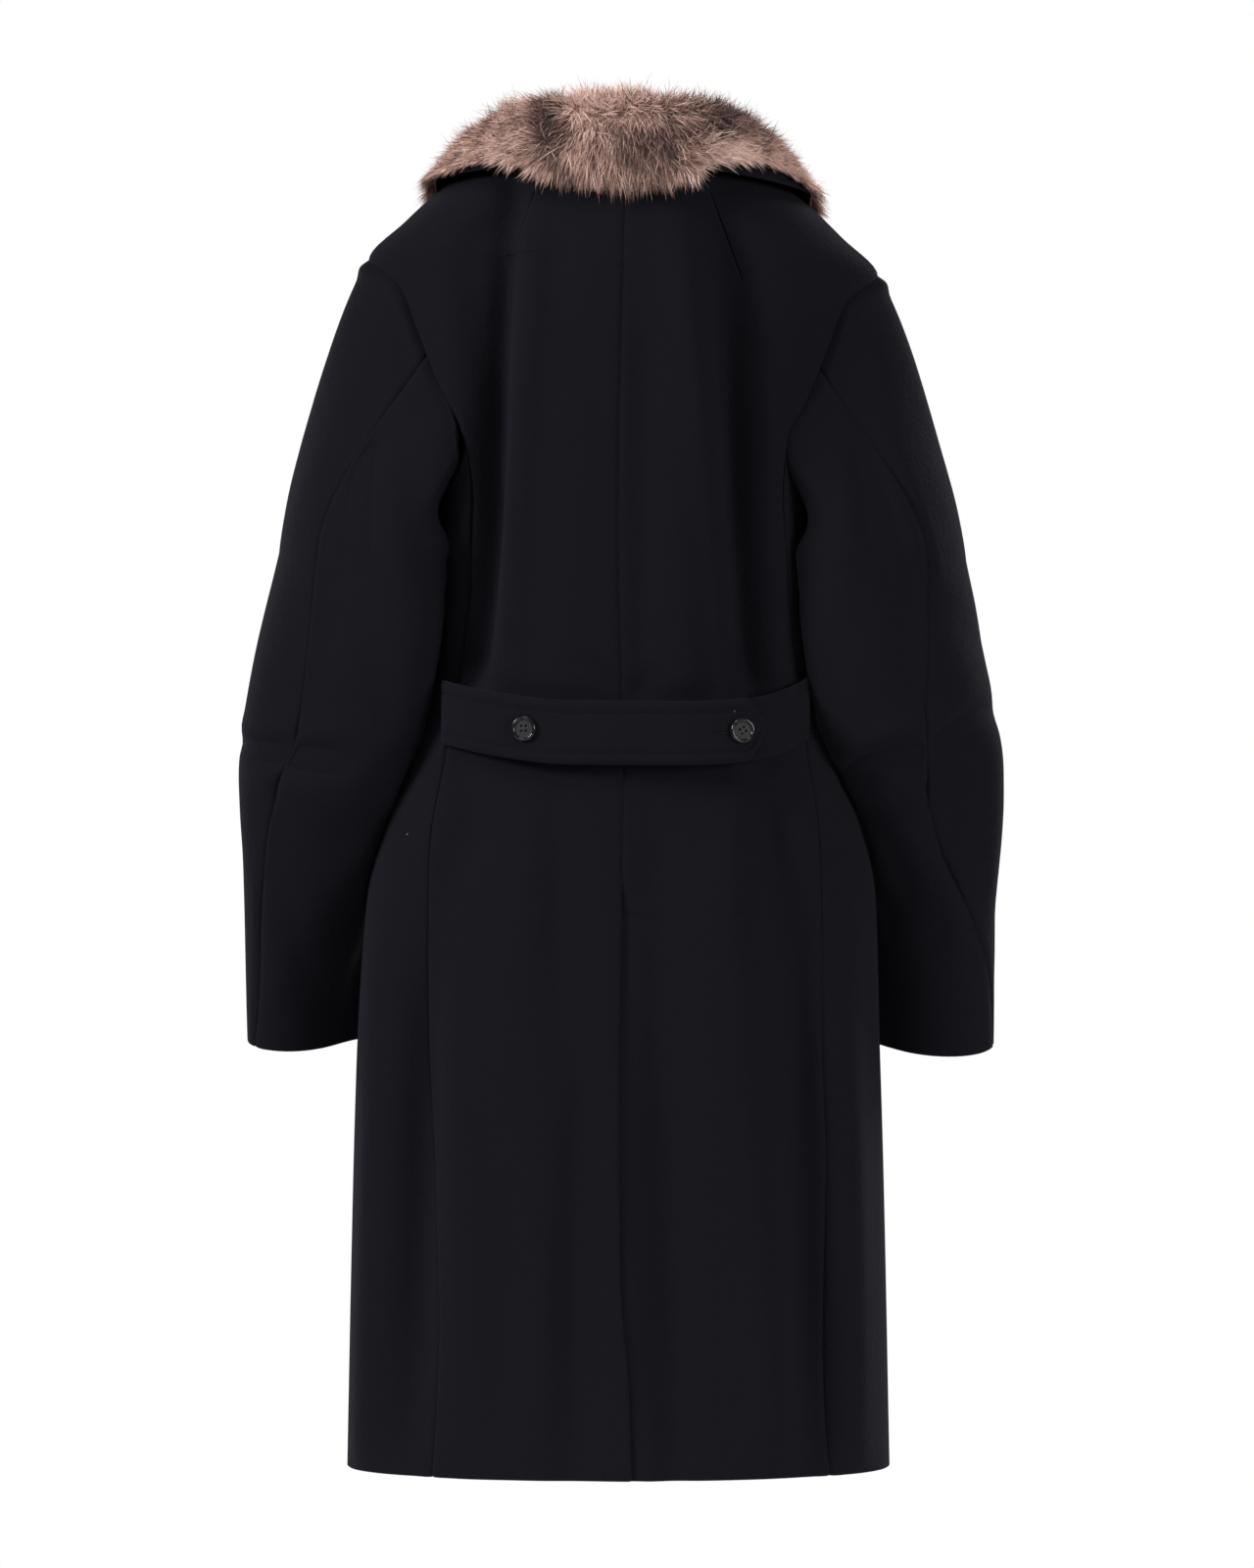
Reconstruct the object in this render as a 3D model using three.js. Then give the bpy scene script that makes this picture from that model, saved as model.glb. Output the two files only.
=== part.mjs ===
// A long double-breasted greatcoat in black wool melton, worn open at the neck on an unseen figure.
// The body hangs as a hollow tube of cloth walls: two backs with a centre seam and a vent, two side
// panels and two overlapping fronts. Two-piece sleeves, a turned-down collar faced with long fur,
// notched lapels, a buttoned half belt across the back and two columns of front buttons finish it.
//
// Frame: millimetres, +Z up, +Y towards the back, +X towards the wearer's left.
// The origin is the middle of the neck, level with the place where the coat sits on the shoulders.
import * as THREE from "three";

// ---------------------------------------------------------------- driving sizes
const HEM_Z = -1042;
const NECK_BACK_Z = 14; // centre of the back neck seam
const NECK_POINT_Z = 24; // neck seam on top of the shoulder
const SHOULDER_Z = -62; // shoulder tip, top of the armhole
const UNDERARM_Z = -276;
const CLOTH = 2.4; // melton wall
const SEAM = 0.3; // gap between neighbouring pieces

const VENT_TOP_Z = -590;
const VENT_UNDERLAP = 42; // how far the right back runs on under the left back
const VENT_STEP = 3.4; // how far the underlap lies inside the left back

const OVERLAP = 86; // each front past the centre
// The left front lies this far outside the right front, and rises to it over these angles and heights.
const FRONT_STEP = { by: 7, fromAngle: 128, toAngle: 152, fromZ: -150, toZ: -215 };
const BREAK_Z = -305; // where the lapels start to roll
const GORGE_Z = -14; // top of the roll line
const ROLL_LINE = { topAngle: 146, bow: 5 }; // degrees: its upper end, and how far it bows back

const BELT_WIDTH = 50;
const BELT_CLOTH = 3;
const BELT_BUTTON = { radius: 10.2, depth: 3.6 };
const FRONT_BUTTON = { radius: 13, depth: 4.2 };

// Horizontal sections of the body: half width, depth behind and before the widest point, where that
// point lies from front to back, and the power of the outline (2 is an ellipse, less is a lens).
const BODY = [
  { z: -1042, wide: 221, back: 121, front: 148, mid: 8, power: 2.1 },
  { z: -800, wide: 216, back: 115, front: 143, mid: 8, power: 2.1 },
  { z: -650, wide: 211, back: 111, front: 139, mid: 9, power: 2.1 },
  { z: -580, wide: 207, back: 108, front: 136, mid: 9, power: 2.1 },
  { z: -520, wide: 194, back: 105, front: 133, mid: 9, power: 2.1 },
  { z: -460, wide: 176, back: 103, front: 131, mid: 8, power: 2.1 },
  { z: -400, wide: 164, back: 105, front: 130, mid: 8, power: 2.1 },
  { z: -340, wide: 160, back: 109, front: 130, mid: 8, power: 2.1 },
  { z: -276, wide: 160, back: 112, front: 130, mid: 8, power: 2.1 },
  { z: -200, wide: 168, back: 113, front: 126, mid: 8, power: 2.05 },
  { z: -150, wide: 178, back: 111, front: 121, mid: 8, power: 1.95 },
  { z: -110, wide: 191, back: 108, front: 115, mid: 8, power: 1.8 },
  { z: -62, wide: 208, back: 103, front: 106, mid: 8, power: 1.55 },
  { z: -30, wide: 178, back: 98, front: 95, mid: 7, power: 1.65 },
  { z: -6, wide: 151, back: 91, front: 83, mid: 6, power: 1.75 },
  { z: 10, wide: 127, back: 84, front: 72, mid: 5, power: 1.85 },
  { z: 24, wide: 97, back: 76, front: 62, mid: 4, power: 2 },
];

// Soft vertical folds. An angle is 0 at the centre back, 90 at the wearer's left and 180 at the
// front. Each fold runs from its top to its foot, is spread degrees wide and stands out by lift.
const BODY_FOLDS = [
  { top: 20, foot: -430, topAngle: 39, footAngle: 47, spread: 8, lift: -12 },
  { top: 10, foot: -430, topAngle: -30, footAngle: -36, spread: 8, lift: -10 },
  { top: -20, foot: -440, topAngle: -17, footAngle: -16, spread: 8, lift: 5 },
  { top: -20, foot: -440, topAngle: 14, footAngle: 17, spread: 10, lift: 4 },
  { top: -100, foot: -440, topAngle: -6, footAngle: -5, spread: 4, lift: -3 },
  { top: -470, foot: -1060, topAngle: 21, footAngle: 19, spread: 8, lift: 6 },
  { top: -460, foot: -1060, topAngle: 40, footAngle: 54, spread: 8, lift: -9 },
  { top: -560, foot: -1060, topAngle: 68, footAngle: 70, spread: 8, lift: 4 },
  { top: -470, foot: -1060, topAngle: -21, footAngle: -34, spread: 8, lift: 6 },
  { top: -460, foot: -1060, topAngle: -36, footAngle: -47, spread: 7, lift: -8 },
  { top: -540, foot: -1060, topAngle: -60, footAngle: -57, spread: 8, lift: 5 },
  { top: -480, foot: -1000, topAngle: -7, footAngle: -7, spread: 4, lift: -4 },
  { top: -280, foot: -1060, topAngle: 118, footAngle: 114, spread: 9, lift: -7 },
  { top: -330, foot: -1060, topAngle: 139, footAngle: 136, spread: 9, lift: 5 },
  { top: -300, foot: -1060, topAngle: -120, footAngle: -111, spread: 10, lift: -8 },
  { top: -420, foot: -1060, topAngle: -141, footAngle: -133, spread: 9, lift: 6 },
];

// The armhole, by its own angle round the arm: 0 at the shoulder tip, 180 under the arm. A body
// angle is counted from the nearer centre line, back or front.
const ARMHOLE = [
  { turn: 0, back: 90, front: 90 },
  { turn: 20, back: 78.5, front: 77 },
  { turn: 42, back: 66.5, front: 64 },
  { turn: 60, back: 65, front: 60 },
  { turn: 75, back: 63, front: 57 },
  { turn: 90, back: 59, front: 53 },
  { turn: 105, back: 53, front: 50 },
  { turn: 115, back: 51.6, front: 50.5 },
  { turn: 135, back: 60, front: 60 },
  { turn: 155, back: 72, front: 73 },
  { turn: 180, back: 90, front: 90 },
];
const SIDE_PANEL_TURN = 115; // armhole angle where the side panel's seams end

// Distance of the seams behind and before the side panels from the centre line.
const SIDE_SEAMS = [
  { z: -1041, backLeft: 151, backRight: 171, front: 150 },
  { z: -930, backLeft: 147, backRight: 168, front: 148 },
  { z: -800, backLeft: 155, backRight: 168, front: 146 },
  { z: -690, backLeft: 161, backRight: 164, front: 145 },
  { z: -560, backLeft: 158, backRight: 160, front: 142 },
  { z: -440, backLeft: 142, backRight: 146, front: 134 },
  { z: -330, backLeft: 132, backRight: 133, front: 128 },
];
const SEAM_BEND_Z = -330; // from here up they bend into the armhole

// Where the centre back seam lies from the middle, in degrees.
const CENTRE_SEAM = [
  { z: -1041, angle: -2.2 },
  { z: -960, angle: -1.6 },
  { z: -880, angle: -0.2 },
  { z: -470, angle: 0 },
  { z: -300, angle: 1.2 },
  { z: -150, angle: 0.8 },
  { z: 28, angle: -2 },
];

// Sleeve sections from below the arm to the cuff: middle of the section (z, x, y), half length and
// half breadth (long, broad), how far its long axis turns to the front at the outside (turn), how far
// the underarm swings forward round it (swing), how much lower its back edge hangs (dip), a trough's
// share of the size and its place round the arm (dent, dentAt), and the place of the back seam (seam).
const RING_COLUMNS = ["z", "x", "y", "long", "broad", "turn", "swing", "dip", "dent", "dentAt", "seam"];
const ringTable = (rows) =>
  rows.map((row) => Object.fromEntries(RING_COLUMNS.map((column, k) => [column, row[k]])));
const SLEEVES = {
  left: {
    side: 1,
    rings: ringTable([
      [-300, 209, 32, 80, 47, 33, 42, 0, 0, 130, 79],
      [-376, 223, 36, 84, 45, 30, 36, 0, 0.1, 104, 81],
      [-440, 235, 30, 80, 45, 24, 26, 0.05, 0.16, 100, 80],
      [-490, 244, 16, 71, 45, 15, 14, 0.1, 0.06, 112, 68],
      [-540, 242, -8, 69, 46, -2, 4, 0.15, 0.06, 150, 44],
      [-600, 249, -40, 61, 43, -14, 0, 0.25, 0.26, 148, 31],
      [-650, 250, -66, 60, 39, -18, 0, 0.32, 0.3, 128, 26],
      [-694, 249, -88, 61, 37, -20, 0, 0.36, 0.24, 112, 16],
    ]),
  },
  right: {
    side: -1,
    rings: ringTable([
      [-300, 208, 32, 80, 47, 33, 42, 0, 0, 120, 79],
      [-376, 220, 35, 82, 45, 29, 36, 0, 0.05, 45, 86],
      [-436, 230, 30, 80, 45, 23, 26, 0.05, 0.05, 50, 92],
      [-482, 239, 15, 73, 42, 14, 14, 0.1, 0.1, 95, 92],
      [-534, 241, -10, 69, 46, -3, 4, 0.15, 0.1, 150, 74],
      [-596, 248, -40, 61, 43, -14, 0, 0.25, 0.28, 140, 36],
      [-648, 250, -66, 61, 39, -18, 0, 0.32, 0.22, 122, 8],
      [-698, 252, -88, 61, 37, -20, 0, 0.36, 0.14, 118, -6],
    ]),
  },
};
const SLEEVE_FRONT_SEAM = -115; // round the arm, towards the front and inside
const SLEEVE_BACK_SEAM = 76; // at the armhole; the rings tell where it runs below
const SLEEVE_DEGREES_EACH_MM = 0.83;
const CAP_ROWS = 6;
const ARM_ROWS = 15;
const SLEEVE_CLEAR = 4; // sleeves hang this far off the body
const DENT_SPREAD = 34; // degrees round the arm

// How strongly the cap leaves the armhole: along the body's normal under the arm and at the shoulder
// tip, then outwards and down, and how steeply it meets the first ring.
const CAP_PULL = { under: 26, top: 20, out: 44, down: 20, fall: 0.25 };
const CAP_FALL = 240; // from the shoulder tip to the first ring
const CAP_END = { lean: 0.1, down: 20 };

// The collar, by its run from the centre back (0) over the neck point (0.5) to its front end (1).
// stand is the height of its fold over the neck seam, lean how far out the fold lies, and the edge
// of the leaf is given by its own place. pile is the depth of the fur on the leaf.
const COLLAR = [
  { run: 0, lean: 5, stand: 43, edgeX: 0, edgeY: 101, edgeZ: 3, pile: 17 },
  { run: 0.2, lean: 7, stand: 38, edgeX: 70, edgeY: 90, edgeZ: 9, pile: 16 },
  { run: 0.36, lean: 9, stand: 17, edgeX: 126, edgeY: 57, edgeZ: 7, pile: 15 },
  { run: 0.5, lean: 10, stand: 7, edgeX: 153, edgeY: 14, edgeZ: 3, pile: 16 },
  { run: 0.75, lean: 6, stand: 9, edgeX: 147, edgeY: -62, edgeZ: -36, pile: 18 },
  { run: 1, lean: 3, stand: 4, edgeX: 118, edgeY: -90, edgeZ: -86, pile: 16 },
];
const COLLAR_CLOTH = 2;
const COLLAR_SEAM = 0.8; // its foot stands this far over the neck seam
const COLLAR_CLEAR = { back: 1.2, front: 7.2 }; // off the body, and off the lapels
const LAPELS_FROM = { start: 0.5, full: 0.72 }; // runs over which the leaf rises onto the lapels

// Its section between foot, fold and edge: how far in the stand leans, how far out the fold rounds
// over and up, and how far the middle of the leaf arches.
const COLLAR_ROUND = { stand: 1.5, over: 1.5, leaf: 5 };

// The fur inside the neck, at the seam and at the fold, and how it rounds off: past the edge of the
// leaf and past the ends of the run, over such a share of them.
const FUR_INSIDE = { seam: 5, fold: 15 };
const FUR_EDGE = { past: 1.06, over: 0.2 };
const FUR_END = { past: 1.04, over: 0.12 };

// Lapel widths across the front, by height from the break to the peak.
const LAPEL = [
  { z: BREAK_Z, width: 3 },
  { z: -260, width: 26 },
  { z: -180, width: 62 },
  { z: -110, width: 88 },
  { z: -72, width: 97 },
];
const LAPEL_TOP = { inner: -34, outer: -70 }; // height at the roll line and at the peak
const LAPEL_GAP = 0.9; // between a lapel and its front
const LAPEL_ROLL = 1.6; // how much more it stands off along the roll line
const RIGHT_LAPEL_FOOT_Z = -176; // the rest is hidden by the left front

// The half belt: its middle line across the back and how far it stands off the body.
const BELT = [
  { angle: 57, z: -430, off: 3.1 },
  { angle: 54, z: -431, off: 5.5 },
  { angle: 47, z: -434, off: 8 },
  { angle: 34, z: -440, off: 11.5 },
  { angle: 12, z: -447, off: 13 },
  { angle: -14, z: -447.5, off: 13 },
  { angle: -34, z: -444, off: 12 },
  { angle: -47, z: -436, off: 8 },
  { angle: -56, z: -428, off: 6 },
  { angle: -59, z: -426, off: 3.1 },
];
const BELT_ENDS = { left: 57, right: -59 };
const BELT_POINT_ANGLE = -37.5; // tip of the left strap
const BELT_POINT_LENGTH = 5.5; // degrees over which it comes to its point
const BELT_BUTTON_ANGLES = { left: 24.8, right: -29.8 };
const BELT_POINT_SHARE = 0.16; // of the width, left at the tip
const RIGHT_STRAP_END = -20;
const STRAP_RISE = { from: 16, to: 3 }; // degrees before it, over which the left strap climbs on it

// The coat hangs a little off true: its right shoulder lower, its skirt over to the left.
const SHOULDER_DROP = { by: 13, fullAtX: -200, fromZ: -470, toZ: -150 };
const SKIRT_SWING = { by: 4, fromZ: -480, toZ: -720 };

const FRONT_BUTTONS = { rows: [-332, -446, -560, -674], column: 62 };

// ---------------------------------------------------------------- small mathematics
const rad = THREE.MathUtils.degToRad;
const deg = THREE.MathUtils.radToDeg;
const clamp = THREE.MathUtils.clamp;
const mix = THREE.MathUtils.lerp;
const ease = (from, to, value) => {
  const t = clamp((value - from) / (to - from), 0, 1);
  return t * t * (3 - 2 * t);
};

// A table's columns at a place between its rows, by a cubic that doesn't overshoot.
function readTable(rows, key, at) {
  const ordered = rows[0][key] <= rows[rows.length - 1][key] ? rows : [...rows].reverse();
  const place = clamp(at, ordered[0][key], ordered[ordered.length - 1][key]);
  let i = 0;
  while (i < ordered.length - 2 && place > ordered[i + 1][key]) i += 1;
  const slope = (column, k) => {
    const rise = (a, b) => (ordered[b][column] - ordered[a][column]) / (ordered[b][key] - ordered[a][key]);
    if (k === 0) return rise(0, 1);
    if (k === ordered.length - 1) return rise(k - 1, k);
    const before = rise(k - 1, k);
    const after = rise(k, k + 1);
    return before * after <= 0 ? 0 : (2 * before * after) / (before + after);
  };
  const width = ordered[i + 1][key] - ordered[i][key];
  const t = (place - ordered[i][key]) / width;
  const found = {};
  for (const column of Object.keys(ordered[0])) {
    const a = ordered[i][column];
    const b = ordered[i + 1][column];
    found[column] =
      (2 * t ** 3 - 3 * t ** 2 + 1) * a +
      (t ** 3 - 2 * t ** 2 + t) * width * slope(column, i) +
      (-2 * t ** 3 + 3 * t ** 2) * b +
      (t ** 3 - t ** 2) * width * slope(column, i + 1);
  }
  return found;
}

// The unit normal of a surface point(u, v), by small steps along it.
function normalOf(point, u, v, stepU, stepV) {
  const alongU = point(u + stepU, v).sub(point(u - stepU, v));
  const alongV = point(u, v + stepV).sub(point(u, v - stepV));
  return alongU.cross(alongV).normalize();
}

// ---------------------------------------------------------------- the body's form
function foldLift(angle, z) {
  let lift = 0;
  for (const fold of BODY_FOLDS) {
    const along = (fold.top - z) / (fold.top - fold.foot);
    if (along <= 0 || along >= 1) continue;
    const away = (angle - mix(fold.topAngle, fold.footAngle, along)) / fold.spread;
    const fade = ease(0, 0.16, along) * ease(1, 0.9, along);
    lift += fold.lift * fade * Math.exp(-away * away);
  }
  return lift;
}

// Angles past 180 are met again from the other side, so folds are looked up within half a turn.
const halfTurn = (angle) => ((((angle + 180) % 360) + 360) % 360) - 180;

// A point of a section's outline and its outward direction. The place round the outline is the
// angle, so that a centre seam is at 0 and a side at 90 whatever the outline's power.
function outlinePoint(section, angle) {
  const a = rad(angle);
  const depth = Math.cos(a) > 0 ? section.back : section.front;
  const along = (part) => Math.sign(part) * Math.abs(part) ** (2 / section.power);
  const slope = (part) => Math.sign(part) * Math.abs(part) ** (2 - 2 / section.power);
  const outX = slope(Math.sin(a)) / section.wide;
  const outY = slope(Math.cos(a)) / depth;
  const length = Math.hypot(outX, outY);
  return {
    x: section.wide * along(Math.sin(a)),
    y: section.mid + depth * along(Math.cos(a)),
    outX: outX / length,
    outY: outY / length,
  };
}

function bodyForm(angle, z) {
  const section = readTable(BODY, "z", z);
  const { x, y, outX, outY } = outlinePoint(section, angle);
  const lift = foldLift(halfTurn(angle), z);
  return new THREE.Vector3(x + outX * lift, y + outY * lift, z);
}

const bodyNormal = (angle, z) => normalOf(bodyForm, angle, z, 0.5, 2).negate();

// A point on the body, out millimetres off its form.
const bodyPoint = (angle, z, out = 0) => bodyForm(angle, z).addScaledVector(bodyNormal(angle, z), out);

// The body angle, from the centre back, of a place so far from the centre line.
function angleBehind(x, z) {
  const section = readTable(BODY, "z", z);
  return deg(Math.asin(clamp(Math.abs(x) / section.wide, 0, 1) ** (section.power / 2)));
}

// How many degrees one millimetre takes up round the body.
function degreesPerMillimetre(angle, z) {
  return 1 / bodyForm(angle + 0.5, z).distanceTo(bodyForm(angle - 0.5, z));
}

// Moves a point that lies in the body out to clear millimetres off it.
function clearOfBody(point, clear) {
  const section = readTable(BODY, "z", point.z);
  const y = point.y - section.mid;
  const depth = (y > 0 ? section.back : section.front) + clear;
  const share = (part) => Math.abs(part) ** section.power;
  const inside = (share(point.x / (section.wide + clear)) + share(y / depth)) ** (1 / section.power);
  if (inside >= 1 || inside < 0.2) return point;
  point.x /= inside;
  point.y = section.mid + y / inside;
  return point;
}

// Moves a point of the even coat to where it hangs.
function hang(point) {
  const { by, fullAtX, fromZ, toZ } = SHOULDER_DROP;
  point.z -= by * ease(0, fullAtX, point.x) * ease(fromZ, toZ, point.z);
  point.x += SKIRT_SWING.by * ease(SKIRT_SWING.fromZ, SKIRT_SWING.toZ, point.z);
  return point;
}

// ---------------------------------------------------------------- cloth walls
// A closed wall between a grid of outer points and the same grid moved inwards.
function wall(outer, inner) {
  const rows = outer.length;
  const columns = outer[0].length;
  const positions = [];
  for (const grid of [outer, inner]) {
    for (const row of grid) for (const p of row) positions.push(...hang(p.clone()));
  }
  const at = (layer, i, j) => (layer * rows + i) * columns + j;
  const faces = [];
  const quad = (a, b, c, d) => faces.push(a, b, c, a, c, d);
  for (let i = 0; i < rows - 1; i++) {
    for (let j = 0; j < columns - 1; j++) {
      quad(at(0, i, j), at(0, i, j + 1), at(0, i + 1, j + 1), at(0, i + 1, j));
      quad(at(1, i, j), at(1, i + 1, j), at(1, i + 1, j + 1), at(1, i, j + 1));
    }
  }
  const last = rows - 1;
  const end = columns - 1;
  for (let j = 0; j < end; j++) {
    quad(at(0, 0, j), at(1, 0, j), at(1, 0, j + 1), at(0, 0, j + 1));
    quad(at(0, last, j), at(0, last, j + 1), at(1, last, j + 1), at(1, last, j));
  }
  for (let i = 0; i < last; i++) {
    quad(at(0, i, 0), at(0, i + 1, 0), at(1, i + 1, 0), at(1, i, 0));
    quad(at(0, i, end), at(1, i, end), at(1, i + 1, end), at(0, i + 1, end));
  }
  if (signedVolume(positions, faces) < 0) faces.reverse();
  return new THREE.BufferGeometry()
    .setAttribute("position", new THREE.Float32BufferAttribute(positions, 3))
    .setIndex(faces);
}

function signedVolume(positions, faces) {
  const corner = (k) => new THREE.Vector3().fromArray(positions, faces[k] * 3);
  let volume = 0;
  for (let k = 0; k < faces.length; k += 3) {
    volume += corner(k).dot(corner(k + 1).cross(corner(k + 2))) / 6;
  }
  return volume;
}

// A wall from a rule that gives a point and its outward direction for each row and column.
function clothWall(rows, columns, rule, thickness = CLOTH) {
  const outer = [];
  const inner = [];
  for (let i = 0; i < rows; i++) {
    outer.push([]);
    inner.push([]);
    for (let j = 0; j < columns; j++) {
      const { point, out } = rule(i, j);
      outer[i].push(point.clone());
      inner[i].push(point.clone().addScaledVector(out, -thickness));
    }
  }
  return wall(outer, inner);
}

// ---------------------------------------------------------------- armhole and sleeves
const armholeZ = (turn) =>
  (SHOULDER_Z + UNDERARM_Z) / 2 + ((SHOULDER_Z - UNDERARM_Z) / 2) * Math.cos(rad(turn));

// Body angle on the left side, from the centre back, at a turn of 0 to 360 round the arm.
function armholeAngle(turn) {
  const row = readTable(ARMHOLE, "turn", turn <= 180 ? turn : 360 - turn);
  return turn <= 180 ? row.back : 180 - row.front;
}

const fullTurn = (turn) => ((turn % 360) + 360) % 360;

function armholePoint(side, turn) {
  const t = fullTurn(turn);
  return bodyForm(side * armholeAngle(t), armholeZ(t));
}

function armholeBodyNormal(side, turn) {
  const t = fullTurn(turn);
  return bodyNormal(side * armholeAngle(t), armholeZ(t));
}

// A point of a sleeve's section, at a place along its table of rings.
function sleeveSection(sleeve, turn, place) {
  const rows = sleeve.rings.map((ring, index) => ({ ...ring, index }));
  const ring = readTable(rows, "index", place);
  const inner = fullTurn(turn);
  const t = rad(turn + ring.swing * ease(80, 180, inner) * ease(340, 200, inner));
  const lean = rad(ring.turn);
  const away = halfTurn(turn - ring.dentAt) / DENT_SPREAD;
  const size = 1 - ring.dent * Math.exp(-away * away);
  const along = ring.long * size * Math.cos(t);
  const across = ring.broad * size * Math.sin(t);
  const y = ring.y - along * Math.sin(lean) + across * Math.cos(lean);
  const point = new THREE.Vector3(
    ring.x + along * Math.cos(lean) + across * Math.sin(lean),
    y,
    ring.z - ring.dip * (y - ring.y),
  );
  point.x *= sleeve.side;
  return clearOfBody(point, SLEEVE_CLEAR);
}

// A point of the sleeve. length runs from 0 at the armhole through 1 at the first ring to the cuff.
// The cap is a cubic from the armhole to the first ring, pulled outwards and then down.
function sleevePoint(sleeve, turn, length) {
  if (length >= 1) return sleeveSection(sleeve, turn, length - 1);
  const from = armholePoint(sleeve.side, turn);
  const to = sleeveSection(sleeve, turn, 0);
  const fall = from.z - to.z;
  const pull = mix(CAP_PULL.under, CAP_PULL.top, fall / CAP_FALL);
  const pullOut = armholeBodyNormal(sleeve.side, turn).multiplyScalar(pull);
  const top = 0.5 + 0.5 * Math.cos(rad(turn));
  pullOut.x += sleeve.side * CAP_PULL.out * top;
  pullOut.z -= CAP_PULL.down + CAP_PULL.fall * fall;
  const t = length;
  const point = from
    .multiplyScalar(2 * t ** 3 - 3 * t ** 2 + 1)
    .addScaledVector(pullOut, t ** 3 - 2 * t ** 2 + t)
    .addScaledVector(to, -2 * t ** 3 + 3 * t ** 2);
  point.x += (t ** 3 - t ** 2) * sleeve.side * CAP_END.lean * fall;
  point.z -= (t ** 3 - t ** 2) * (CAP_END.down + fall);
  return clearOfBody(point, SLEEVE_CLEAR * ease(0.02, 0.5, length));
}

function sleeveNormal(sleeve, turn, length) {
  const low = Math.max(length - 0.02, 0.001);
  const around = sleevePoint(sleeve, turn + 0.6, length).sub(sleevePoint(sleeve, turn - 0.6, length));
  const down = sleevePoint(sleeve, turn, Math.min(length + 0.02, sleeve.rings.length)).sub(
    sleevePoint(sleeve, turn, low),
  );
  return down.cross(around).normalize().multiplyScalar(sleeve.side);
}

// At the armhole the body and the sleeve share one direction of thickness, so they mitre.
function armholeOut(side, turn) {
  const sleeve = side > 0 ? SLEEVES.left : SLEEVES.right;
  return sleeveNormal(sleeve, turn, 0.03).add(armholeBodyNormal(side, turn)).normalize();
}

// A point of the armhole seam on the sleeve's half of the gap (1) or the body's (-1).
function armholeEdge(side, turn, half) {
  const out = armholeOut(side, turn);
  const along = armholePoint(side, turn + 1).sub(armholePoint(side, turn - 1));
  const across = along.cross(out).normalize().multiplyScalar(side);
  const gap = across.multiplyScalar((half * SEAM) / 2);
  return { point: armholePoint(side, turn).add(gap), out };
}

// One piece of a sleeve. Its columns start at the given turns of the armhole, the same as the body
// panels' points there, and spread between the seams on the way down.
function sleevePiece(sleeve, armholeTurns, fromTurn, toTurn) {
  const columns = armholeTurns.length;
  const first = armholeTurns[0];
  const last = armholeTurns[columns - 1];
  const cuff = sleeve.rings.length;
  const lengths = [];
  for (let i = 0; i < CAP_ROWS; i++) lengths.push(i / CAP_ROWS);
  for (let i = 0; i <= ARM_ROWS; i++) lengths.push(1 + ((cuff - 1) * i) / ARM_ROWS);
  const rule = (i, j) => {
    const length = lengths[i];
    const share = (armholeTurns[j] - first) / (last - first);
    const trim = seamTrim(j, columns, SLEEVE_DEGREES_EACH_MM);
    const at = mix(fromTurn(length), toTurn(length), share) + trim;
    if (i === 0) return armholeEdge(sleeve.side, at, 1);
    return { point: sleevePoint(sleeve, at, length), out: sleeveNormal(sleeve, at, length) };
  };
  return clothWall(lengths.length, columns, rule);
}

// Half a seam gap, in degrees, taken off the first and last columns of a piece.
function seamTrim(j, columns, degreesEachMillimetre) {
  const half = (SEAM / 2) * degreesEachMillimetre;
  if (j === 0) return half;
  return j === columns - 1 ? -half : 0;
}

function ringSeam(sleeve, length) {
  if (length < 1) return mix(SLEEVE_BACK_SEAM, sleeve.rings[0].seam, length);
  const rows = sleeve.rings.map((ring, index) => ({ index, seam: ring.seam }));
  return readTable(rows, "index", length - 1).seam;
}

// ---------------------------------------------------------------- backs
// Heights of a panel's rows beside the armhole and shoulder, and below them to the hem.
const ARMHOLE_TURNS = [SIDE_PANEL_TURN, 103, 90, SLEEVE_BACK_SEAM, 62, 46, 30, 14, 0];
const SIDE_PANEL_COLUMNS = 9;
const SHOULDER_STEPS = 4;
const SKIRT_ROWS = 8;
const WAIST_ROWS = 8;

// Turns of the armhole over the side panel, from its back seam to its front seam.
const SIDE_PANEL_TURNS = Array.from({ length: SIDE_PANEL_COLUMNS }, (_, j) =>
  mix(SIDE_PANEL_TURN, 360 - SIDE_PANEL_TURN, j / (SIDE_PANEL_COLUMNS - 1)),
);
const SHOULDER_TURNS = [...ARMHOLE_TURNS].reverse();
const TOP_SLEEVE_TURNS = [
  ...ARMHOLE_TURNS.slice(0, -1).map((turn) => -turn),
  ...SHOULDER_TURNS.filter((turn) => turn <= SLEEVE_BACK_SEAM),
];
const UNDER_SLEEVE_TURNS = [
  ...SHOULDER_TURNS.filter((turn) => turn >= SLEEVE_BACK_SEAM && turn < SIDE_PANEL_TURN),
  ...SIDE_PANEL_TURNS,
];

// Heights from the hem to a top edge: even steps up to the vent, and even steps above it.
function lowerHeights(topZ) {
  const heights = [];
  for (let i = 0; i < SKIRT_ROWS; i++) heights.push(mix(HEM_Z, VENT_TOP_Z, i / SKIRT_ROWS));
  for (let i = 0; i <= WAIST_ROWS; i++) heights.push(mix(VENT_TOP_Z, topZ, i / WAIST_ROWS));
  return heights;
}

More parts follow.
